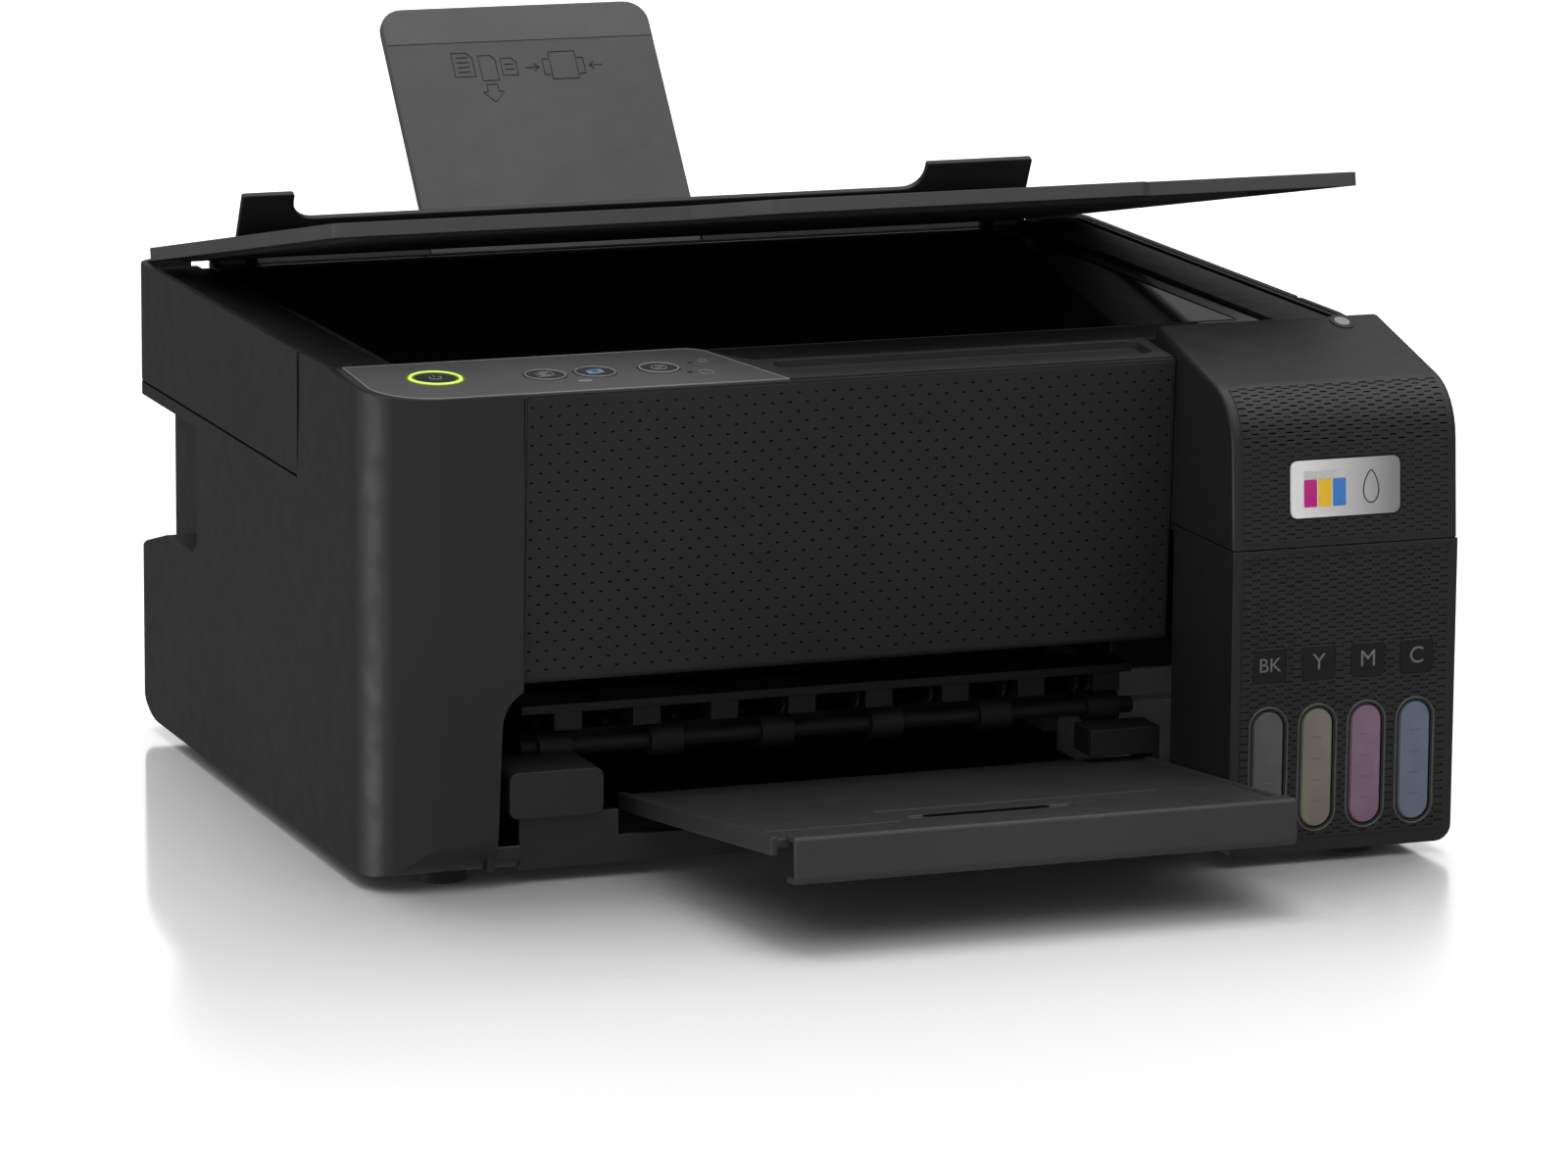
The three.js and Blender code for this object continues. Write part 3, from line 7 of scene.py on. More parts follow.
import json
import math

import bmesh
import bpy
from mathutils import Matrix, Vector


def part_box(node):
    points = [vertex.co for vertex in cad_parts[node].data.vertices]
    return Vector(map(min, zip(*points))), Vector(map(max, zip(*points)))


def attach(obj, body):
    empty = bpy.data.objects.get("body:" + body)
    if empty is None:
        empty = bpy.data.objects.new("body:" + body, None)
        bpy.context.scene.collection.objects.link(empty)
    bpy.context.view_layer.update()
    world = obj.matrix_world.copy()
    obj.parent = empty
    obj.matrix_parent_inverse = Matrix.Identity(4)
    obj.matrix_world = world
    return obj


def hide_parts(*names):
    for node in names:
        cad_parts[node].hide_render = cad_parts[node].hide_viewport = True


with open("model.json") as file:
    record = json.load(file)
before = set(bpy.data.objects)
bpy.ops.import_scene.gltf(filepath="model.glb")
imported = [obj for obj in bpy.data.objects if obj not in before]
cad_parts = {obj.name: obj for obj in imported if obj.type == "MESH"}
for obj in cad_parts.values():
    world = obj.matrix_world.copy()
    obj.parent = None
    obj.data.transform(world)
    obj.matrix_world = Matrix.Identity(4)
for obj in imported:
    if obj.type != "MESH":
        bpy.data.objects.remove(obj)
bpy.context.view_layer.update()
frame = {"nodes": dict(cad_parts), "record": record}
nodes = frame["nodes"]
slot_of = {s["node"]: s["material_slot"] for s in frame["record"]["subparts"]}
body_of = {n: b for b, names in frame["record"]["behaviour"]["bodies"].items() for n in names}
scene = bpy.context.scene
scene.view_settings.view_transform = "Standard"

MM = 0.001
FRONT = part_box("front_panel")[0].y  # the front panel's top edge in the frame
INKS = ("black", "yellow", "magenta", "cyan")
BUTTONS = ("power", "copy_mono", "copy_colour", "stop")


def at(x, y, z):
    return Vector((x * MM, y * MM + FRONT, z * MM))


def placed(spot, degrees, axis):
    """Local millimetres turned about one axis and set down at a spot in the frame."""
    return Matrix.Translation(spot) @ Matrix.Rotation(math.radians(degrees), 4, axis) @ Matrix.Scale(MM, 4)


def tilted(y, z, degrees):
    """Places drawn on a surface that leans: local millimetres to frame metres."""
    return placed(at(0, y, z), degrees, "X")


DECK = tilted(0, 170, 4)
FEEDER = tilted(304, 183, -38.6)
TRAY = tilted(15, 24.7, -5.6)


# ---------------------------------------------------------------- node graphs
class Graph:
    """A material's node tree, built one node at a time."""

    def __init__(self, name):
        self.material = bpy.data.materials.new(name)
        self.material.use_nodes = True
        self.tree = self.material.node_tree
        self.shader = self.tree.nodes["Principled BSDF"]

    def add(self, kind, settings=(), **inputs):
        node = self.tree.nodes.new(kind)
        for key, value in dict(settings).items():
            setattr(node, key, value)
        for key, value in inputs.items():
            self.put(node.inputs[key.replace("_", " ")], value)
        return node

    def put(self, socket, value):
        if isinstance(value, bpy.types.NodeSocket):
            self.tree.links.new(value, socket)
        else:
            socket.default_value = value

    def math(self, operation, a, b=0.0, clamp=False):
        node = self.add("ShaderNodeMath", {"operation": operation, "use_clamp": clamp})
        self.put(node.inputs[0], a)
        self.put(node.inputs[1], b)
        return node.outputs[0]

    def scaled(self, value, low, high, to_low, to_high):
        node = self.add("ShaderNodeMapRange")
        limits = {"Value": value, "From Min": low, "From Max": high, "To Min": to_low, "To Max": to_high}
        for key, v in limits.items():
            self.put(node.inputs[key], v)
        return node.outputs["Result"]

    def noise(self, size, detail=2.0):
        """Noise in the object's own space, size being the width of its spots in millimetres."""
        where = self.add("ShaderNodeTexCoord").outputs["Object"]
        node = self.add("ShaderNodeTexNoise", Scale=1 / (size * MM), Detail=detail)
        self.put(node.inputs["Vector"], where)
        return node.outputs["Fac"]

    def mixed(self, blend, factor, a, b):
        node = self.add("ShaderNodeMix", {"data_type": "RGBA", "blend_type": blend})
        self.put(node.inputs[0], factor)
        self.put(node.inputs[6], a)
        self.put(node.inputs[7], b)
        return node.outputs[2]


    def level(self, shade):
        """A grey whose three channels all take the same value."""
        return self.add("ShaderNodeCombineColor", Red=shade, Green=shade, Blue=shade).outputs[0]

    def toned(self, colour, shade):
        return self.mixed("MULTIPLY", 1.0, colour, self.level(shade))


def grey(value, tint=0.0):
    return (value, value, value * (1 + tint), 1.0)


def moulded(name, colour, roughness, grain=0.45, depth=0.02, edge_highlight=0.35, specular=0.5, uneven=0.08):
    """Moulded plastic: spark-eroded grain, uneven gloss, faint clouds and a painted highlight that tints the
    edges a little lighter.
    """
    g = Graph(name)
    clouds = g.scaled(g.noise(70), 0.3, 0.7, 1 - uneven, 1 + uneven)
    specks = g.scaled(g.noise(grain, 3.0), 0.3, 0.7, 0.9, 1.1)
    shade = g.math("MULTIPLY", clouds, specks)
    toned = g.toned(colour, shade)
    soft = g.add("ShaderNodeBevel", {"samples": 4}, Radius=0.5 * MM).outputs[0]
    facing = g.add("ShaderNodeVectorMath", {"operation": "DOT_PRODUCT"})
    g.put(facing.inputs[0], soft)
    g.put(facing.inputs[1], g.add("ShaderNodeNewGeometry").outputs["Normal"])
    # Painted highlight: near the edges, where the rounded normal turns away from the face's own, the colour
    # is mixed towards a lighter grey.
    edge_highlight_mask = g.scaled(facing.outputs["Value"], 0.99, 0.8, 0.0, edge_highlight)
    lighter = tuple(min(1.0, c * 3 + 0.02) for c in colour[:3]) + (1.0,)
    g.put(g.shader.inputs["Base Color"], g.mixed("MIX", edge_highlight_mask, toned, lighter))
    g.put(g.shader.inputs["Roughness"], g.scaled(g.noise(9), 0.3, 0.7, roughness - 0.04, roughness + 0.05))
    bump = g.add("ShaderNodeBump", Strength=1.0, Distance=depth * MM, Height=g.noise(grain, 2.0), Normal=soft)
    g.put(g.shader.inputs["Normal"], bump.outputs[0])
    g.shader.inputs["Specular IOR Level"].default_value = specular
    return g.material


def glossy(name, colour, roughness, coat=0.0):
    """Polished plastic with faint ripples and a few rubbed patches."""
    g = Graph(name)
    shade = g.scaled(g.noise(25), 0.3, 0.7, 0.92, 1.08)
    toned = g.toned(colour, shade)
    g.put(g.shader.inputs["Base Color"], toned)
    g.put(g.shader.inputs["Roughness"], g.scaled(g.noise(6, 4.0), 0.3, 0.7, roughness * 0.8, roughness * 1.3))
    bump = g.add("ShaderNodeBump", Strength=0.4, Distance=0.01 * MM, Height=g.noise(4))
    g.put(g.shader.inputs["Normal"], bump.outputs[0])
    g.shader.inputs["Coat Weight"].default_value = coat
    g.shader.inputs["Coat Roughness"].default_value = 0.05
    return g.material


def metal(name, colour, roughness, brush=(1, 1, 1)):
    """Metal, brushed along the axis whose share is small."""
    g = Graph(name)
    where = g.add("ShaderNodeTexCoord").outputs["Object"]
    stretched = g.add("ShaderNodeMapping", Vector=where, Scale=brush).outputs[0]
    lines = g.add("ShaderNodeTexNoise", Vector=stretched, Scale=4000.0, Detail=2.0).outputs["Fac"]
    shade = g.scaled(lines, 0.3, 0.7, 0.85, 1.1)
    toned = g.toned(colour, shade)
    g.put(g.shader.inputs["Base Color"], toned)
    g.put(g.shader.inputs["Roughness"], g.scaled(lines, 0.3, 0.7, roughness - 0.05, roughness + 0.08))
    bump = g.add("ShaderNodeBump", Strength=0.5, Distance=0.01 * MM, Height=lines)
    g.put(g.shader.inputs["Normal"], bump.outputs[0])
    g.shader.inputs["Metallic"].default_value = 1.0
    return g.material


def felted(name, colour, size):
    """Foam or felt: a matt surface of small uneven pores."""
    g = Graph(name)
    pores = g.noise(size, 4.0)
    shade = g.scaled(pores, 0.3, 0.7, 0.7, 1.2)
    toned = g.toned(colour, shade)
    g.put(g.shader.inputs["Base Color"], toned)
    g.put(g.shader.inputs["Roughness"], g.scaled(pores, 0.3, 0.7, 0.85, 0.97))
    bump = g.add("ShaderNodeBump", Strength=1.0, Distance=0.1 * MM, Height=pores)
    g.put(g.shader.inputs["Normal"], bump.outputs[0])
    return g.material


def inked(name, colour):
    """A milky tank wall with ink behind it: paler towards the top."""
    g = Graph(name)
    height = g.add("ShaderNodeSeparateXYZ", Vector=g.add("ShaderNodeTexCoord").outputs["Object"]).outputs["Z"]
    pale = g.scaled(height, 0.02, 0.05, 0.0, 0.12)
    milk = tuple(min(1.0, 0.55 * c + 0.06) for c in colour[:3]) + (1.0,)
    shade = g.scaled(g.noise(8), 0.3, 0.7, 0.92, 1.08)
    toned = g.toned(g.mixed("MIX", pale, colour, milk), shade)
    g.put(g.shader.inputs["Base Color"], toned)
    g.put(g.shader.inputs["Roughness"], g.scaled(g.noise(3), 0.3, 0.7, 0.3, 0.4))
    bump = g.add("ShaderNodeBump", Strength=0.5, Distance=0.02 * MM, Height=g.noise(2))
    g.put(g.shader.inputs["Normal"], bump.outputs[0])
    g.shader.inputs["Coat Weight"].default_value = 0.3
    g.shader.inputs["Coat Roughness"].default_value = 0.1
    return g.material


def glowing(name, colour, strength):
    g = Graph(name)
    shade = g.scaled(g.noise(3), 0.3, 0.7, 0.9, 1.0)
    toned = g.toned(colour, shade)
    g.put(g.shader.inputs["Base Color"], toned)
    g.put(g.shader.inputs["Emission Color"], toned)
    g.shader.inputs["Emission Strength"].default_value = strength
    g.shader.inputs["Roughness"].default_value = 0.4
    return g.material


def silver_with_painted_reflection(name):
    """A satin silver foil with a painted reflection: its colour darkens from its left end to its right."""
    g = Graph(name)
    across = g.add("ShaderNodeSeparateXYZ", Vector=g.add("ShaderNodeTexCoord").outputs["Object"]).outputs["X"]
    grain = g.scaled(g.noise(0.4), 0.3, 0.7, 0.95, 1.05)
    # Painted reflection: the grey falls from 0.85 at the badge's left end to 0.24 at its right.
    shade = g.math("MULTIPLY", g.scaled(across, 0.128, 0.164, 0.85, 0.24), grain)
    g.put(g.shader.inputs["Base Color"], g.level(shade))
    g.put(g.shader.inputs["Roughness"], g.scaled(g.noise(5), 0.3, 0.7, 0.3, 0.4))
    bump = g.add("ShaderNodeBump", Strength=0.3, Distance=0.01 * MM, Height=g.noise(0.4))
    g.put(g.shader.inputs["Normal"], bump.outputs[0])
    return g.material


FINISH = {
    "case": moulded("charcoal_plastic", grey(0.022, 0.02), 0.46),
    "front_texture": moulded("patterned_plastic", grey(0.019, 0.02), 0.44, edge_highlight=0.25),
    "deck": moulded("deck_plastic", grey(0.055, 0.02), 0.42),
    "panel": moulded("panel_plastic", grey(0.115, 0.02), 0.5, depth=0.01, edge_highlight=0.5),
    "button": moulded("button_plastic", grey(0.05, 0.02), 0.45, edge_highlight=0.5),
    "ink_black": inked("tank_black_ink", (0.10, 0.10, 0.104, 1)),
    "ink_yellow": inked("tank_yellow_ink", (0.215, 0.195, 0.15, 1)),
    "ink_magenta": inked("tank_magenta_ink", (0.235, 0.14, 0.21, 1)),
    "ink_cyan": inked("tank_cyan_ink", (0.135, 0.17, 0.235, 1)),
    "cap": moulded("stopper_rubber", grey(0.03), 0.6, edge_highlight=0.1),
    "badge": silver_with_painted_reflection("satin_plate"),
    "glass": glossy("platen_glass", grey(0.004), 0.06, coat=0.5),
    "white_plastic": moulded("white_plastic", grey(0.62, -0.03), 0.45, edge_highlight=0.0),
    "steel": metal("plated_steel", grey(0.5, 0.02), 0.3, (0.05, 1, 1)),
    "lid": moulded("lid_plastic", grey(0.07, 0.02), 0.5, edge_highlight=0.15),
    "mat": felted("mat_foam", grey(0.018), 0.6),
    "inner": moulded("black_plastic", grey(0.012), 0.5, edge_highlight=0.3),
    "guard": moulded("guard_plastic", grey(0.012), 0.42, edge_highlight=0.4),
    "support": moulded("support_plastic", grey(0.092, 0.01), 0.5, edge_highlight=0.2),
    "tray": moulded("tray_plastic", grey(0.042, 0.02), 0.45, edge_highlight=0.5),
    "rubber": moulded("roller_rubber", grey(0.012), 0.7, grain=0.3, edge_highlight=0.1),
    "pad": felted("white_felt", grey(0.45, -0.05), 0.9),
    "board": moulded("green_board", (0.015, 0.08, 0.03, 1), 0.4, edge_highlight=0.0),
}
# Painted shade: a near-black, barely reflecting material for the insides of hollows, slots and recesses,
# standing in for the shade that falls there.
PAINTED_SHADE = moulded("painted_shade_hollow", grey(0.002), 0.8, edge_highlight=0.0, specular=0.05)
# Partly painted highlight: the rim beads are real, but their grey is lightened above the dark plastic so that
# they show bright glassy arcs.
RIM_WITH_PAINTED_HIGHLIGHT = glossy("window_rim", grey(0.075), 0.15, coat=0.5)
GLOSS_BLACK = glossy("gloss_black", grey(0.006), 0.12, coat=0.3)
LINE_LIGHT = moulded("printed_light", grey(0.33), 0.5, depth=0.005, edge_highlight=0.0)
LINE_SOFT = moulded("printed_soft", grey(0.17), 0.5, depth=0.005, edge_highlight=0.0)
LINE_DARK = moulded("printed_dark", grey(0.022), 0.5, depth=0.005, edge_highlight=0.0)
LINE_BLUE = moulded("printed_blue", (0.20, 0.34, 0.52, 1), 0.5, depth=0.005, edge_highlight=0.0)
GLOW = glowing("power_glow", (0.56, 0.75, 0.12, 1), 0.85)
# Painted glow: a dim emitting green for the power lamp's light spilling onto the plastic round it; this part
# is no lamp.
GLOW_SPILL = glowing("power_glow_spill", (0.10, 0.15, 0.03, 1), 0.35)


# ---------------------------------------------------------------- mesh helpers
def rounded(corners, step=0.35):
    """A closed outline through corners (u, v, radius), each radius being a true arc."""
    points = []
    count = len(corners)
    for i, corner in enumerate(corners):
        here = Vector(corner[:2])
        radius = corner[2] if len(corner) > 2 else 0
        if not radius:
            points.append(here)
            continue
        back = (Vector(corners[i - 1][:2]) - here).normalized()
        on = (Vector(corners[(i + 1) % count][:2]) - here).normalized()
        half = math.acos(max(-1, min(1, back.dot(on)))) / 2
        centre = here + (back + on).normalized() * radius / math.sin(half)
        start = here + back * radius / math.tan(half) - centre
        turn = math.pi - 2 * half
        side = 1 if (-back).cross(on) > 0 else -1
        steps = max(3, math.ceil(turn * radius / step / 2))
        for k in range(steps + 1):
            a = side * turn * k / steps
            points.append(centre + Vector((start.x * math.cos(a) - start.y * math.sin(a),
                                           start.x * math.sin(a) + start.y * math.cos(a))))
    return points


def rectangle(u0, u1, v0, v1, radius=0.0):
    return rounded([(u0, v0, radius), (u1, v0, radius), (u1, v1, radius), (u0, v1, radius)])


def circle(u, v, radius, count=48):
    turns = [2 * math.pi * k / count for k in range(count)]
    return [Vector((u + radius * math.cos(a), v + radius * math.sin(a))) for a in turns]


def loop(points):
    return [tuple(p) for p in points]


def piece_from(name, mesh, body, slot, *materials):
    """A piece on its body and slot. A mesh that already has its materials keeps them."""
    piece = bpy.data.objects.new(name, mesh)
    scene.collection.objects.link(piece)
    if not mesh.materials:
        for material in materials or (FINISH[slot],):
            mesh.materials.append(material)
    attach(piece, body)
    return piece


SOFT_ANGLE = 30  # degrees: edges that turn more than this are rounded, the rest are shaded smooth
RELIEF_ANGLE = 25  # the same for the patterned skins, which have shallower edges


def softened(piece, width, segments=2):
    """Rounds a piece's edges and evens its shading."""
    bevel = piece.modifiers.new("rounded_edges", "BEVEL")
    bevel.width = width * MM
    bevel.segments = segments
    bevel.limit_method = "ANGLE"
    bevel.angle_limit = math.radians(SOFT_ANGLE)
    bevel.harden_normals = True
    even = piece.modifiers.new("even_shading", "WEIGHTED_NORMAL")
    even.keep_sharp = True
    return piece


def smooth(mesh, angle=SOFT_ANGLE):
    mesh.shade_smooth()
    mesh.set_sharp_from_angle(angle=math.radians(angle))


def refined(name, width, rounds=None):
    """The CAD node's solid as a finished moulding: its triangles joined into faces and its edges rounded.
    rounds(edge, low, high) gives a larger radius for an edge, or None."""
    mesh = nodes[name].data.copy()
    for attribute in ("custom_normal", "sharp_edge", "sharp_face"):
        if attribute in mesh.attributes:
            mesh.attributes.remove(mesh.attributes[attribute])
    bm = bmesh.new()
    bm.from_mesh(mesh)
    bmesh.ops.remove_doubles(bm, verts=bm.verts, dist=0.002 * MM)
    bmesh.ops.dissolve_limit(bm, angle_limit=math.radians(0.6), verts=bm.verts, edges=bm.edges)
    if rounds:
        low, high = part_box(name)
        groups = {}
        for edge in bm.edges:
            radius = rounds(edge, low, high)
            if radius and len(edge.link_faces) == 2 and edge.calc_face_angle(0) > math.radians(40):
                groups.setdefault(radius, []).append(edge)
        for radius, edges in groups.items():
            bmesh.ops.bevel(bm, geom=edges, offset=radius * MM, offset_type="OFFSET", segments=6,
                            profile=0.5, affect="EDGES", clamp_overlap=True)
    bm.to_mesh(mesh)
    bm.free()
    mesh.materials.clear()
    piece = piece_from(name + "_moulding", mesh, body_of[name], slot_of[name])
    smooth(mesh)
    softened(piece, width)
    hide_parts(name)
    return piece


def prism(bm, points, low, high):
    """A closed plate from an outline, between two heights."""
    bottom = [bm.verts.new((p.x, p.y, low)) for p in points]
    top = [bm.verts.new((p.x, p.y, high)) for p in points]
    faces = [bm.faces.new(top), bm.faces.new(bottom[::-1])]
    count = len(points)
    for i in range(count):
        j = (i + 1) % count
        faces.append(bm.faces.new((bottom[i], bottom[j], top[j], top[i])))
    return faces


def plates(name, outlines, low, high, place, body, slot, *materials, edge=0.0):
    """Thin plates lying on a surface: outlines are in the surface's own millimetres."""
    bm = bmesh.new()
    for points in outlines:
        prism(bm, points, low, high)
    bmesh.ops.recalc_face_normals(bm, faces=bm.faces)
    bmesh.ops.transform(bm, matrix=place, verts=bm.verts)
    mesh = bpy.data.meshes.new(name)
    bm.to_mesh(mesh)
    bm.free()
    piece = piece_from(name, mesh, body, slot, *materials)
    smooth(mesh)
    if edge:
        softened(piece, edge)
    return piece


def strokes(name, paths, radius, place, body, material, closed=(), height=0.0):
    """Printed or raised lines: each path is a thin rounded bead on the surface."""
    curve = bpy.data.curves.new(name, "CURVE")
    curve.dimensions = "3D"
    curve.bevel_depth = radius * MM
    curve.bevel_resolution = 2
    curve.use_fill_caps = True
    for k, path in enumerate(paths):
        spline = curve.splines.new("POLY")
        spline.points.add(len(path) - 1)
        for point, (u, v) in zip(spline.points, path):
            point.co = (*(place @ Vector((u, v, height))), 1.0)
        spline.use_cyclic_u = closed is True or k in closed
    curve.materials.append(material)
    piece = bpy.data.objects.new(name, curve)
    scene.collection.objects.link(piece)
    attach(piece, body)
    return piece


def lettering(name, text, size, place, body, slot, material):
    """Generic letters as thin raised plates, centred on the origin of place."""
    curve = bpy.data.curves.new(name + "_curve", "FONT")
    curve.body = text
    curve.size = size
    curve.align_x = "CENTER"
    curve.align_y = "CENTER"
    curve.extrude = 0.06
    temporary = bpy.data.objects.new(name + "_curve", curve)
    scene.collection.objects.link(temporary)
    bpy.context.view_layer.update()
    mesh = bpy.data.meshes.new_from_object(temporary.evaluated_get(bpy.context.evaluated_depsgraph_get()))
    bpy.data.objects.remove(temporary)
    mesh.name = name
    mesh.transform(place)
    mesh.materials.clear()
    return piece_from(name, mesh, body, slot, material)


# ---------------------------------------------------------------- relief patterns
SIDE_STEPS = (-0.5, -0.25, 0.0, 0.25, 0.5)
HOLLOW_ANGLES = (225, 315, 340, 0, 20, 45, 135, 160, 180, 200)


def relief_slab(name, width, height, pitch, hollow, depth, thick, seam, cutters, place):
    """A thin closed skin with staggered hollows pressed into it, as on the printer's fronts.

    pitch is the width of a column and the height of a cell, and every second column is half a cell up.
    hollow is the half width and half height of one hollow, depth how deep it goes, seam how far the
    skin dips between the hollows. cutters are outlines cut right through, and place(u, v, h) puts a
    point of the flat skin in the frame."""
    columns = round(width / pitch[0])
    rows = round(height / pitch[1])
    du, dv = width / columns, height / rows
    bm = bmesh.new()
    made = {}

    def vertex(u, v, h, tag):
        key = (round(u * 1000), round(v * 1000), tag)
        if key not in made:
            made[key] = bm.verts.new((u, v, h))
        return made[key]

    def dip(u, v):
        inside = min(u, width - u, v, height - v) > 0.01
        return thick - (seam if inside else 0.0)

    outlines = []
    for i in range(columns):
        u0, u1 = i * du, (i + 1) * du
        shift = 0.5 if i % 2 else 0.0
        centres = [(k + 0.5 + shift) * dv for k in range(rows - (1 if shift else 0))]
        for v in centres:
            right = [(u1, v + s * dv) for s in SIDE_STEPS]
            left = [(u0, v + s * dv) for s in reversed(SIDE_STEPS)]
            ring = left[-1:] + right + left[:-1]
            outlines.append(ring)
            level = [thick if s in (-0.5, 0.0, 0.5) else None for s in SIDE_STEPS]
            levels = [level[0]] + level + level[::-1][:-1]
            outer = [vertex(a, b, thick if l else dip(a, b), "top") for (a, b), l in zip(ring, levels)]
            middle = Vector(((u0 + u1) / 2, v))
            mouth, floor = [], []
            for angle in HOLLOW_ANGLES:
                c, s = math.cos(math.radians(angle)), math.sin(math.radians(angle))
                mouth.append(bm.verts.new((middle.x + hollow[0] * c, middle.y + hollow[1] * s, thick)))
                inner = (middle.x + 0.6 * hollow[0] * c, middle.y + 0.45 * hollow[1] * s, thick - depth)
                floor.append(bm.verts.new(inner))
            for k in range(10):
                j = (k + 1) % 10
                bm.faces.new((outer[k], outer[j], mouth[j], mouth[k]))
                # The hollows' walls and floors take material 1, the painted shade.
                bm.faces.new((mouth[k], mouth[j], floor[j], floor[k])).material_index = 1
            bm.faces.new(floor).material_index = 1
        if shift:
            for v, sign in ((0.0, 1), (height, -1)):
                ring = [(u0, v), (u1, v), (u1, v + sign * 0.25 * dv), (u1, v + sign * 0.5 * dv),
                        (u0, v + sign * 0.5 * dv), (u0, v + sign * 0.25 * dv)]
                outlines.append(ring if sign > 0 else ring[::-1])
                bm.faces.new([vertex(a, b, thick, "top") for a, b in outlines[-1]])
    uses = {}
    for ring in outlines:
        bm.faces.new([vertex(a, b, 0.0, "base") for a, b in reversed(ring)])
        for k, point in enumerate(ring):
            following = ring[(k + 1) % len(ring)]
            key = frozenset((round(a * 1000), round(b * 1000)) for a, b in (point, following))
            uses.setdefault(key, []).append((point, following))
    for entries in uses.values():
        if len(entries) == 1:
            (a, b), (c, d) = entries[0]
            bm.faces.new((vertex(a, b, 0.0, "base"), vertex(c, d, 0.0, "base"),
                          vertex(c, d, thick, "top"), vertex(a, b, thick, "top")))
    mesh = bpy.data.meshes.new(name)
    bmesh.ops.recalc_face_normals(bm, faces=bm.faces)
    bm.to_mesh(mesh)
    bm.free()
    mesh.materials.append(FINISH["front_texture"])
    # Material 1 is the painted shade for the hollows.
    mesh.materials.append(PAINTED_SHADE)
    if cutters:
        mesh = cut_through(name, mesh, cutters, thick)
    for v in mesh.vertices:
        v.co = place(*v.co)
    mesh.update()
    return mesh


def cut_through(name, mesh, cutters, thick):
    """The flat skin with openings cut through it."""
    bm = bmesh.new()
    for points in cutters:
        prism(bm, points, -thick - 1, 2 * thick + 1)
    bmesh.ops.recalc_face_normals(bm, faces=bm.faces)
    tool_mesh = bpy.data.meshes.new(name + "_openings")
    bm.to_mesh(tool_mesh)
    bm.free()
    skin = bpy.data.objects.new(name + "_flat", mesh)
    tool = bpy.data.objects.new(name + "_openings", tool_mesh)
    for o in (skin, tool):
        scene.collection.objects.link(o)
    cutter = skin.modifiers.new("openings", "BOOLEAN")
    cutter.operation = "DIFFERENCE"
    cutter.solver = "EXACT"
    cutter.object = tool
    bpy.context.view_layer.update()
    made = bpy.data.meshes.new_from_object(skin.evaluated_get(bpy.context.evaluated_depsgraph_get()))
    for o in (skin, tool):
        bpy.data.objects.remove(o)
    return made


# ---------------------------------------------------------------- the mouldings
TANK_EDGE = 2.0


def upright_front_edges(edge, low, high):
    """The tank unit's two front edges, which run up its sides."""
    for x in (low.x, high.x):
        if all(abs(v.co.x - x) < 0.02 * MM for v in edge.verts):
            if all(v.co.y < low.y + 72.5 * MM for v in edge.verts):
                normals = [f.normal for f in edge.link_faces]
                if any(abs(n.x) < 0.1 and (n.y < -0.2 or n.z > 0.2) for n in normals):
                    return TANK_EDGE
    return None


def housing_edges(edge, low, high):
    """Of those, only the ones in the housing's front face."""
    at_front = all(v.co.y < low.y + 1 * MM for v in edge.verts)
    return upright_front_edges(edge, low, high) if at_front else None


WIDE = {"base_pan": 0.4, "left_cover": 0.4, "right_cover": 0.4, "document_lid": 0.5, "feeder_guard": 0.5,
        "paper_support": 0.6, "output_tray": 0.4, "tray_extension": 0.5, "control_panel": 0.3,
        "print_carriage": 0.8, "capping_station": 0.8, "feed_motor": 0.6, "carriage_motor": 0.6}
for node in nodes:
    if node == "tank_cover":
        refined(node, 0.3, rounds=upright_front_edges)
    elif node == "tank_housing":
        refined(node, 0.3, rounds=housing_edges)
    else:
        refined(node, WIDE.get(node, 0.25))

# ---------------------------------------------------------------- front panel relief
PANEL = {"left": -133.6, "right": 103.0, "top": 169.7, "bottom": 69.7, "lean": 5.0}
panel_slope = math.hypot(PANEL["lean"], PANEL["top"] - PANEL["bottom"])
panel_up = Vector((0, -PANEL["lean"], PANEL["top"] - PANEL["bottom"])) / panel_slope
panel_out = Vector((0, -panel_up.z, panel_up.y))


def on_panel(u, v, h):
    foot = Vector((PANEL["left"] + 1.0 + u, PANEL["lean"], PANEL["bottom"]))
    spot = foot + panel_up * (v + 1.6) + panel_out * (h - 0.1)
    return at(*spot)


panel_skin = relief_slab("front_panel_relief", PANEL["right"] - PANEL["left"] - 2.0, panel_slope - 2.6,
                         (3.15, 6.4), (0.66, 0.44), 0.35, 0.45, 0.07, [], on_panel)
piece_from("front_panel_relief", panel_skin, "chassis", "front_texture")
smooth(panel_skin, RELIEF_ANGLE)

# ---------------------------------------------------------------- ink-tank unit relief
tank_low, tank_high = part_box("tank_housing")
tank_left = tank_low.x / MM
tank_right = tank_high.x / MM
tank_front = (tank_low.y - FRONT) / MM
TANK_TOP = 111.0
BORDER = 3.6
WINDOW = {"half": 6.1, "low": 12.5, "high": 55.0}
tank_middle = {ink: sum(corner.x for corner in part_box("ink_tank_" + ink)) / 2 / MM for ink in INKS}
LABEL = {"half": 6.0, "low": 64.7, "high": 76.7}
SKIN = 0.3


def capsule(middle, half, low, high):
    return rectangle(middle - half, middle + half, low, high, half - 0.01)


DASH = {"cell": (3.2, 2.75), "depth": 0.28, "seam": 0.08}  # the tank unit's pattern, in millimetres


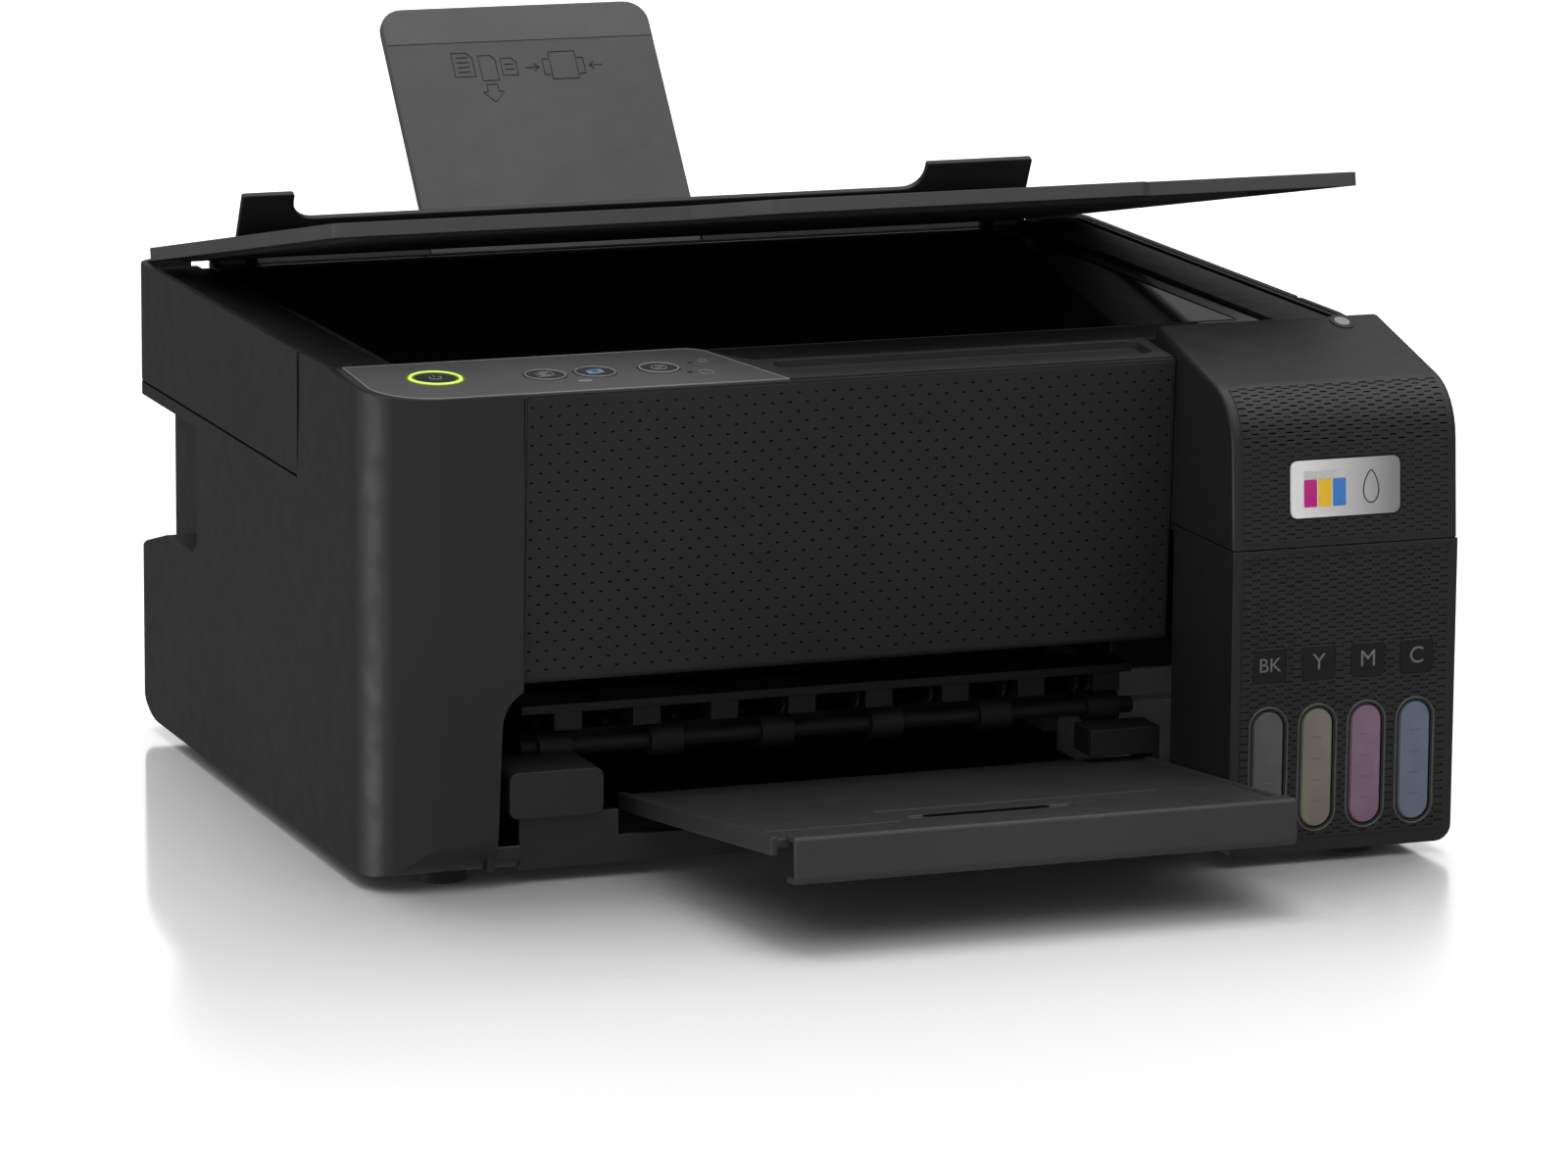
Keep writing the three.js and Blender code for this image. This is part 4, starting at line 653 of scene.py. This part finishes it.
def window_outline(middle, margin):
    """An ink window's outline, that much larger all round."""
    return capsule(middle, WINDOW["half"] + margin, WINDOW["low"] - margin, WINDOW["high"] + margin)


def label_outline(middle, margin, radius):
    half = LABEL["half"] + margin
    return rectangle(middle - half, middle + half, LABEL["low"] - margin, LABEL["high"] + margin, radius)


def on_housing(u, v, h):
    return at(tank_left + BORDER + u, tank_front - h + 0.05, 9.0 + v)


def shifted(points, du, dv):
    return [Vector((p.x + du, p.y + dv)) for p in points]


flat_u = -(tank_left + BORDER)
openings = [shifted(window_outline(tank_middle[i], 1.0), flat_u, -9.0) for i in INKS]
openings += [shifted(label_outline(tank_middle[i], 0.3, 1.8), flat_u, -9.0) for i in INKS]
field = tank_right - tank_left - 2 * BORDER
housing_skin = relief_slab("tank_housing_relief", field, TANK_TOP - 1.8 - 9.0, DASH["cell"], (1.5, 0.42),
                           DASH["depth"], SKIN, DASH["seam"], openings, on_housing)
piece_from("tank_housing_relief", housing_skin, "chassis", "front_texture")
smooth(housing_skin, RELIEF_ANGLE)

# The cover's side view: up its front, round the shoulder and along its top.
COVER_FOOT = Vector((tank_front, TANK_TOP + 0.4))
COVER_KNEE = Vector((tank_front + 3.3, 162.0))
COVER_END = Vector((19.8, 178.8))
SHOULDER = 22.0
climb = (COVER_KNEE - COVER_FOOT).normalized()
away = (COVER_END - COVER_KNEE).normalized()
bend = climb.angle(away)
straight = (COVER_KNEE - COVER_FOOT).length - SHOULDER * math.tan(bend / 2)
shoulder_centre = COVER_FOOT + climb * straight + Vector((climb.y, -climb.x)) * SHOULDER


def on_cover(u, v, h):
    """A point v along the cover's side view and h out from it."""
    s = v + 2.0
    if s <= straight:
        out = Vector((-climb.y, climb.x))
        spot = COVER_FOOT + climb * s + out * (h - 0.05)
    else:
        turned = min((s - straight) / SHOULDER, bend)
        out = Matrix.Rotation(-turned, 2) @ Vector((-climb.y, climb.x))
        rest = max(0.0, s - straight - SHOULDER * bend)
        spot = shoulder_centre + out * (SHOULDER + h - 0.05) + away * rest
    return at(tank_left + BORDER + u, spot.x, spot.y)


badge_low, badge_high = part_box("cover_badge")
badge_x = (badge_low.x + badge_high.x) / 2 / MM
badge_z = (badge_low.z + badge_high.z) / 2 / MM
badge_s = (badge_z - COVER_FOOT.y) / climb.y - 2.0
badge_opening = rectangle(badge_x - 21.3, badge_x + 21.3, badge_s - 10.7, badge_s + 10.7, 2.8)
cover_skin = relief_slab("tank_cover_relief", field, straight + SHOULDER * bend * 0.86 - 2.0, DASH["cell"],
                         (1.5, 0.38), DASH["depth"], SKIN, DASH["seam"],
                         [shifted(badge_opening, flat_u, 0)], on_cover)
piece_from("tank_cover_relief", cover_skin, "cover", "front_texture")
smooth(cover_skin, RELIEF_ANGLE)

# ---------------------------------------------------------------- ink windows, labels and badge
UPRIGHT = placed(at(0, tank_front, 0), 90, "X")
for ink, letter in zip(INKS, ("BK", "Y", "M", "C")):
    x = tank_middle[ink]
    lens = plates(f"ink_window_{ink}", [window_outline(x, -0.7)], -1.2, 0.35, UPRIGHT, "chassis",
                  "ink_" + ink)
    softened(lens, 1.2, segments=5)
    # The rim bead is real; its lightened grey is partly a painted highlight.
    strokes(f"window_rim_{ink}", [loop(window_outline(x, 1.0))], 0.42, UPRIGHT, "chassis",
            RIM_WITH_PAINTED_HIGHLIGHT, closed=True, height=0.1)
    marks = [[(x - 1.7, z), (x + 1.7, z)] for z in (22.0, 29.5, 37.0, 44.5)]
    strokes(f"window_marks_{ink}", marks, 0.14, UPRIGHT, "chassis", LINE_SOFT, height=0.36)
    tile = plates(f"ink_label_{ink}", [label_outline(x, 0.0, 1.5)], -0.2, 0.42, UPRIGHT, "chassis",
                  "front_texture", GLOSS_BLACK)
    softened(tile, 0.2)
    middle = UPRIGHT @ Matrix.Translation(Vector((x, (LABEL["low"] + LABEL["high"]) / 2, 0.42)))
    lettering(f"ink_letter_{ink}", letter, 7.0 if len(letter) > 1 else 8.2, middle, "chassis",
              "front_texture", LINE_SOFT)

badge_lean = math.degrees(math.atan2(3.3, 51.0))
BADGE = placed(at(badge_x, tank_front + (badge_z - TANK_TOP) * 3.3 / 51.0, badge_z), 90 - badge_lean, "X")
PRINTS = {
    "badge_magenta": (0.55, 0.01, 0.22, 1),
    "badge_yellow": (0.90, 0.55, 0.02, 1),
    "badge_blue": (0.05, 0.22, 0.62, 1),
}
for k, (name, colour) in enumerate(PRINTS.items()):
    ink = glossy(name + "_print", colour, 0.3)
    u = -15.6 + 5.4 * k
    plates(name, [rectangle(u, u + 4.8, -6.2, 3.2, 0.3)], 0.5, 0.72, BADGE, "cover", "badge", ink)
plates("badge_white", [rectangle(-15.6 + 5.4 * k, -10.8 + 5.4 * k, 3.3, 6.2, 0.3) for k in range(3)],
       0.5, 0.7, BADGE, "cover", "badge", FINISH["white_plastic"])
drop = [(9.5 + 3.4 * math.sin(a) * (0.35 + 0.65 * math.sin(a / 2)), 5.4 - 5.6 * (1 - math.cos(a)))
        for a in (2 * math.pi * k / 40 for k in range(40))]
strokes("badge_drop", [drop], 0.2, BADGE, "cover", LINE_DARK, closed=True, height=0.62)

# ---------------------------------------------------------------- control panel
def deck_spot(name):
    """A button's centre and radius in the deck's own millimetres."""
    low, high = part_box(name)
    centre = DECK.inverted() @ ((low + high) / 2)
    return centre.x, centre.y, (high.x - low.x) / 2 / MM


spots = {b: deck_spot(b + "_button") for b in BUTTONS}
x, y, r = spots["power"]
POWER = DECK @ Matrix.Translation(Vector((x, y, 0)))
plates("power_well", [circle(x, y, r - 0.6)], 0.3, 0.56, DECK, "power_key", "button",
       moulded("power_face", grey(0.045), 0.4, edge_highlight=0.1))
strokes("power_ring", [loop(circle(0, 0, r + 0.1, 64))], 0.75, POWER, "power_key", GLOW,
        closed=True, height=0.25)
# Painted glow: two dim emitting rings either side of the lit ring stand in for its light falling on the key.
strokes("power_glow_spill", [loop(circle(0, 0, radius, 64)) for radius in (r - 1.25, r + 1.45)], 0.5, POWER,
        "power_key", GLOW_SPILL, closed=True, height=0.15)
arc = [(2.1 * math.sin(a), 2.1 * math.cos(a)) for a in (math.radians(38 + 284 * k / 24) for k in range(25))]
strokes("power_sign", [arc, [(0, 0.6), (0, 2.9)]], 0.22, POWER, "power_key", LINE_LIGHT, height=0.6)
for name in ("copy_mono", "copy_colour", "stop"):
    x, y, r = spots[name]
    strokes(name + "_ring", [loop(circle(x, y, r - 0.6, 56))], 0.34 if name == "stop" else 0.26, DECK,
            name + "_key", LINE_LIGHT, closed=True, height=0.45)
x, y, r = spots["copy_mono"]
sheets = [rectangle(x - 2.9, x + 1.3, y - 2.6, y + 2.2, 0.3),
          rectangle(x - 1.3, x + 2.9, y - 1.7, y + 3.1, 0.3)]
strokes("copy_mono_sign", [loop(s) for s in sheets], 0.16, DECK, "copy_mono_key", LINE_LIGHT,
        closed=True, height=0.52)
strokes("copy_mono_lines", [[(x - 2.0, y + v), (x + 0.6, y + v)] for v in (-1.6, -0.6, 0.4, 1.3)], 0.13, DECK,
        "copy_mono_key", LINE_LIGHT, height=0.52)
x, y, r = spots["copy_colour"]
sheets = [rectangle(x - 3.0, x + 1.2, y - 2.8, y + 2.0, 0.4),
          rectangle(x - 1.2, x + 3.0, y - 1.8, y + 3.0, 0.4)]
plates("copy_colour_sign", sheets, 0.4, 0.56, DECK, "copy_colour_key", "button", LINE_BLUE)
x, y, r = spots["stop"]
slash = [(x + 1.2, y + 1.2), (x - 1.2, y - 1.2)]
strokes("stop_sign", [loop(circle(x, y, 2.7, 32)), slash], 0.2, DECK, "stop_key", LINE_LIGHT,
        closed=(0,), height=0.52)
paper = [(x - 1.2, y + 0.4), (x, y + 1.6), (x + 1.5, y + 0.2), (x + 0.2, y - 1.5)]
strokes("stop_sign_paper", [paper], 0.13, DECK, "stop_key", LINE_LIGHT, closed=True, height=0.52)
lamps = [(-64.6, 29.5), (-69.1, 16.9)]
plates("signal_lamps", [circle(u, v, 0.9, 20) for u, v in lamps], 0.1, 0.35, DECK, "chassis", "panel",
       LINE_DARK)
u, v = -59.4, 32.0
ink_drop = [(u + 1.9 * math.sin(a) * (0.35 + 0.65 * math.sin(a / 2)), v + 2.2 - 2.1 * (1 - math.cos(a)))
            for a in (2 * math.pi * k / 30 for k in range(30))]
page = [(-65.6, 14.0), (-61.4, 14.0), (-61.4, 17.2), (-62.8, 18.6), (-65.6, 18.6)]
strokes("signal_signs", [ink_drop, page], 0.18, DECK, "chassis", LINE_LIGHT, closed=True,
        height=0.24)
plates("mode_mark", [rectangle(-110.4, -105.2, 12.6, 14.6, 0.9)], 0.1, 0.32, DECK, "chassis", "panel",
       LINE_LIGHT)
brackets = [[(-104.0, 13.6), (-98.0, 13.6), (-96.6, 15.0)], [(-111.6, 13.6), (-118.0, 13.6), (-119.4, 15.0)]]
strokes("mode_link", brackets, 0.13, DECK, "chassis", LINE_SOFT, height=0.24)
plate_rim = rounded([(-182.2, 49.3), (-55.3, 49.3, 8.8), (-39.2, 0.9), (-182.2, 0.9, 20.8)])
strokes("control_panel_rim", [loop(plate_rim)], 0.26, DECK, "chassis", LINE_LIGHT, closed=True,
        height=0.12)

# ---------------------------------------------------------------- paper support
FACE = FEEDER @ Matrix.Rotation(math.radians(90), 4, "X")
support_left, support_right = (v.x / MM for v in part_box("paper_support"))
band = rounded([(support_left + 0.7, 73.5), (support_right - 0.7, 73.5),
                (support_right - 0.7, 88.6, 8.4), (support_left + 0.7, 88.6, 8.4)])
plates("support_band", [band], -0.25, 0.12, FACE, "support", "support",
       moulded("support_band_plastic", grey(0.118, 0.01), 0.5, edge_highlight=0.2), edge=0.1)


def page_sign(u, v, w, h, lines):
    corner = 0.28 * w
    paths = [[(u, v), (u + w, v), (u + w, v + h - corner), (u + w - corner, v + h), (u, v + h)]]
    paths += [[(u + 0.2 * w, v + h * k), (u + 0.8 * w, v + h * k)] for k in lines]
    return paths


signs = page_sign(-47.5, 58.5, 8.0, 10.5, (0.2, 0.4, 0.6, 0.8)) + page_sign(-37.0, 56.5, 6.5, 11.0, ())
signs += page_sign(-28.5, 58.5, 6.0, 7.5, (0.35, 0.65))
closed_signs = [0, 5, 6]
arrow = [(-36.0, 54.8), (-31.6, 54.8), (-31.6, 51.6), (-29.6, 51.6), (-33.8, 47.0), (-38.0, 51.6),
         (-36.0, 51.6)]
signs.append(arrow)
closed_signs.append(len(signs) - 1)
signs.append([(-9.0, 56.0), (1.5, 56.0), (1.5, 68.0), (-9.0, 68.0)])
closed_signs.append(len(signs) - 1)
for s, u in ((1, -12.5), (-1, 5.0)):
    signs.append([(u + s * 3.0, 58.0), (u + s * 0.6, 58.0), (u + s * 0.6, 65.0), (u + s * 3.0, 65.0)])
    signs.append([(u - s * 6.5, 61.5), (u - s * 1.2, 61.5)])
    signs.append([(u - s * 3.2, 63.1), (u - s * 1.2, 61.5), (u - s * 3.2, 59.9)])
strokes("support_signs", signs, 0.2, FACE, "support", LINE_DARK, closed=closed_signs, height=-0.05)

# ---------------------------------------------------------------- scanner bed
BED = 171.5
glass_low, glass_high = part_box("scanner_glass")
BED_PLACE = tilted(0, BED, 0)
window = loop(rectangle(glass_low.x / MM - 1, glass_high.x / MM + 1,
                        (glass_low.y - FRONT) / MM - 1, (glass_high.y - FRONT) / MM + 1, 2.0))
strokes("glass_rim", [window], 0.35, BED_PLACE, "scanner_unit", GLOSS_BLACK, closed=True, height=0.1)

# Painted reflection: a light grey triangle on the bed, between its black frame and the rail, stands in for
# the bright background mirrored at a grazing angle where the lid's shadow ends.
corner = [Vector(p) for p in ((134.0, 50.4), (157.6, 50.4), (157.6, 160.0))]
plates("bed_painted_reflection", [corner], -0.1, 0.16, BED_PLACE, "scanner_unit", "case",
       moulded("bed_painted_reflection_plastic", grey(0.3, 0.01), 0.5, edge_highlight=0.0), edge=0.08)

# ---------------------------------------------------------------- tray marks
strokes("tray_ribs", [[(-30, -74), (73, -74)], [(-78, -99), (-30, -99)]], 0.3, TRAY, "tray",
        FINISH["tray"], height=0.05)
# Painted shade: the grip is a near-black plate standing in for the shade in a recess.
plates("tray_grip", [rectangle(-18, 27, -92.0, -88.0, 1.2)], -0.2, 0.08, TRAY, "tray", "tray", PAINTED_SHADE)

# ---------------------------------------------------------------- star wheels over the tray
beam_low, beam_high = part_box("exit_beam")
HOLDERS = 8
END_HOLDER = 17.0  # the outermost holders' middles, in from the beam's ends
holder_gap = ((beam_high.x - beam_low.x) / MM - 2 * END_HOLDER) / (HOLDERS - 1)
wheels = []
for k in range(HOLDERS):
    x = beam_low.x / MM + END_HOLDER + k * holder_gap
    wheels += [x - 2.4, x + 2.4]
bm = bmesh.new()
for x in wheels:
    radii = [5.2 if k % 2 else 4.1 for k in range(32)]
    teeth = [Vector((r * math.cos(2 * math.pi * k / 32), r * math.sin(2 * math.pi * k / 32)))
             for k, r in enumerate(radii)]
    faces = prism(bm, teeth, -0.5, 0.5)
    corners = {v for f in faces for v in f.verts}
    turn = placed(at(x, 33.5, 51.6), 90, "Y")
    bmesh.ops.transform(bm, matrix=turn, verts=list(corners))
bmesh.ops.recalc_face_normals(bm, faces=bm.faces)
wheel_mesh = bpy.data.meshes.new("star_wheels")
bm.to_mesh(wheel_mesh)
bm.free()
piece_from("star_wheels", wheel_mesh, "chassis", "inner")

# ---------------------------------------------------------------- back
rear_low, rear_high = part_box("rear_cover")
REAR = (Matrix.Translation((0, rear_high.y, 0))
        @ Matrix(((-1, 0, 0, 0), (0, 0, 1, 0), (0, 1, 0, 0), (0, 0, 0, 1))) @ Matrix.Scale(MM, 4))
cover_low, cover_high = rear_low.z / MM, rear_high.z / MM
for side in (-1, 1):
    word = "left" if side > 0 else "right"
    middles = [side * 74 + 4.4 * k for k in range(-6, 7)]
    vents = [rectangle(u - 1.1, u + 1.1, cover_high - 46, cover_high - 20, 1.05) for u in middles]
    # Painted shade: the vent slots are near-black plates on the cover, standing in for the shade inside
    # openings that are not cut.
    plates("vent_" + word, vents, -0.3, 0.06, REAR, "chassis", "case", PAINTED_SHADE)
    strokes("vent_rims_" + word, [loop(v) for v in vents], 0.28, REAR, "chassis", FINISH["case"],
            closed=True, height=0.02)
label = rectangle(-38, 10, cover_low + 16, cover_low + 46, 1.5)
plates("rating_plate", [label], -0.2, 0.18, REAR, "chassis", "case",
       glossy("blank_label", grey(0.30), 0.35), edge=0.08)
label_field = rectangle(-35.5, 7.5, cover_low + 18.5, cover_low + 43.5, 0.8)
plates("rating_plate_field", [label_field], 0.1, 0.24, REAR, "chassis", "case",
       glossy("label_field", grey(0.36), 0.35), edge=0.04)
screws = [(u, v) for u in (-118, 118) for v in (cover_low + 9, cover_high - 12)]
wells = [circle(u, v, 3.6, 36) for u, v in screws]
heads = [circle(u, v, 2.6, 36) for u, v in screws]
crosses = [rectangle(u - a, u + a, v - b, v + b, 0.15)
           for u, v in screws for a, b in ((1.5, 0.3), (0.3, 1.5))]
# Painted shade: the rings round the screw heads and the crosses in them are near-black plates standing in for
# the shade in their recesses.
plates("rear_screw_wells", wells, -0.2, 0.1, REAR, "chassis", "case", PAINTED_SHADE, edge=0.04)
plates("rear_screws", heads, 0.0, 0.45, REAR, "chassis", "steel", edge=0.2)
plates("rear_screw_crosses", crosses, 0.3, 0.5, REAR, "chassis", "case", PAINTED_SHADE)

# ---------------------------------------------------------------- cover mark
MARK = placed(at(171.0, 12.0, 177.0), 13.9, "X")
oval = [Vector((4.2 * math.cos(a), 5.6 * math.sin(a))) for a in (2 * math.pi * k / 40 for k in range(40))]
plates("cover_mark", [oval], -0.3, 0.25, MARK, "cover", "front_texture", GLOSS_BLACK, edge=0.15)
plates("cover_mark_face", [[0.62 * p for p in oval]], 0.2, 0.4, MARK, "cover", "front_texture",
       glossy("mark_bright", grey(0.4), 0.2), edge=0.1)

# ---------------------------------------------------------------- floor, light and camera
bm = bmesh.new()
bmesh.ops.create_grid(bm, x_segments=8, y_segments=8, size=30)
floor_mesh = bpy.data.meshes.new("floor")
bm.to_mesh(floor_mesh)
bm.free()
floor = bpy.data.objects.new("floor", floor_mesh)
scene.collection.objects.link(floor)
g = Graph("white_floor")
clouds = g.scaled(g.noise(400), 0.3, 0.7, 0.0, 1.0)
g.put(g.shader.inputs["Base Color"], g.mixed("MIX", clouds, grey(0.58), grey(0.6)))
away = g.add("ShaderNodeSeparateXYZ", Vector=g.add("ShaderNodeTexCoord").outputs["Object"]).outputs["Y"]
g.put(g.shader.inputs["Roughness"], g.math("ADD", g.scaled(g.noise(60), 0.3, 0.7, 0.0, 0.01),
                                           g.scaled(away, -0.16, -0.5, 0.1, 0.75)))
floor_mesh.materials.append(g.material)
floor.visible_glossy = False

# A white card stands behind for the floor alone to mirror, so the printer stays dark against it.
CARD_BRIGHTNESS = 1.7
card_data = bpy.data.lights.new("backdrop_card", "AREA")
card_data.shape = "RECTANGLE"
card_data.size = 20
card_data.size_y = 4
card_data.energy = CARD_BRIGHTNESS * math.pi * card_data.size * card_data.size_y
card = bpy.data.objects.new("backdrop_card", card_data)
card.matrix_world = Matrix.Translation((0, 6, 2)) @ Matrix.Rotation(math.radians(-90), 4, "X")
scene.collection.objects.link(card)
sun_data = bpy.data.lights.new("floor_light", "SUN")
sun_data.angle = math.radians(40)
sun_data.energy = 2.75
sun = bpy.data.objects.new("floor_light", sun_data)
sun.rotation_euler = Vector((0.12, 0.4, 0.92)).to_track_quat("Z", "Y").to_euler()
scene.collection.objects.link(sun)
lit = bpy.data.collections.new("floor_only")
lit.objects.link(floor)
card.light_linking.receiver_collection = lit
sun.light_linking.receiver_collection = lit

CORNER_BOX = (-0.96, 0.1, -0.2)
AMBIENT = 0.15
world = bpy.data.worlds.new("studio")
scene.world = world
world.use_nodes = True
tree = world.node_tree
tree.nodes.clear()


def world_node(kind, settings=(), *values):
    node = tree.nodes.new(kind)
    for key, value in dict(settings).items():
        setattr(node, key, value)
    for socket, value in zip(node.inputs, values):
        if isinstance(value, bpy.types.NodeSocket):
            tree.links.new(value, socket)
        elif value is not None:
            socket.default_value = value
    return node


def world_math(operation, a, b=0.0, clamp=False):
    return world_node("ShaderNodeMath", {"operation": operation, "use_clamp": clamp}, a, b).outputs[0]


direction = world_node("ShaderNodeTexCoord").outputs["Generated"]
parts = world_node("ShaderNodeSeparateXYZ", (), direction).outputs


def lobe(towards, sharpness, strength):
    """A soft patch of light in one direction."""
    aim = Vector(towards).normalized()
    along = world_node("ShaderNodeVectorMath", {"operation": "DOT_PRODUCT"}, direction, aim).outputs["Value"]
    return world_math("MULTIPLY", world_math("POWER", world_math("MAXIMUM", along, 0.0), sharpness), strength)


def ramp(value, low, high, strength):
    settings = {"interpolation_type": "SMOOTHSTEP"}
    return world_node("ShaderNodeMapRange", settings, value, low, high, 0.0, strength).outputs["Result"]


terms = [
    ramp(parts["Z"], 0.45, 0.95, 1.35),  # the wide soft box overhead
    lobe(CORNER_BOX, 34, 6.0),  # the tall soft box at the left
    lobe((-0.3, -0.9, 0.3), 4, 0.3),  # a little fill from the front left
]
light = AMBIENT
for term in terms:
    light = world_math("ADD", light, term)
background = world_node("ShaderNodeBackground", (), (1, 1, 1, 1), light)
seen = world_node("ShaderNodeBackground", (), (1, 1, 1, 1), 1.0)
choice = world_node("ShaderNodeMixShader", (), world_node("ShaderNodeLightPath").outputs["Is Camera Ray"],
                    background.outputs[0], seen.outputs[0])
tree.links.new(choice.outputs[0], world_node("ShaderNodeOutputWorld").inputs["Surface"])

CAMERA_SPOT = (-0.92885, -2.50499, 0.62322)  # metres
camera_data = bpy.data.cameras.new("camera")
camera_data.sensor_width = 36
camera_data.lens = 174.85
camera_data.shift_x = 0.00654
camera_data.shift_y = -0.01088
camera_data.clip_start = 0.1
camera_data.clip_end = 100
camera = bpy.data.objects.new("camera", camera_data)
scene.collection.objects.link(camera)
right = Vector((0.93781783, -0.34705121, 0.00729206))
up = Vector((0.06249842, 0.18947515, 0.97989444))
back = right.cross(up)
turned = Matrix((right, up, back)).transposed().to_4x4()
camera.matrix_world = Matrix.Translation(CAMERA_SPOT) @ turned
scene.camera = camera
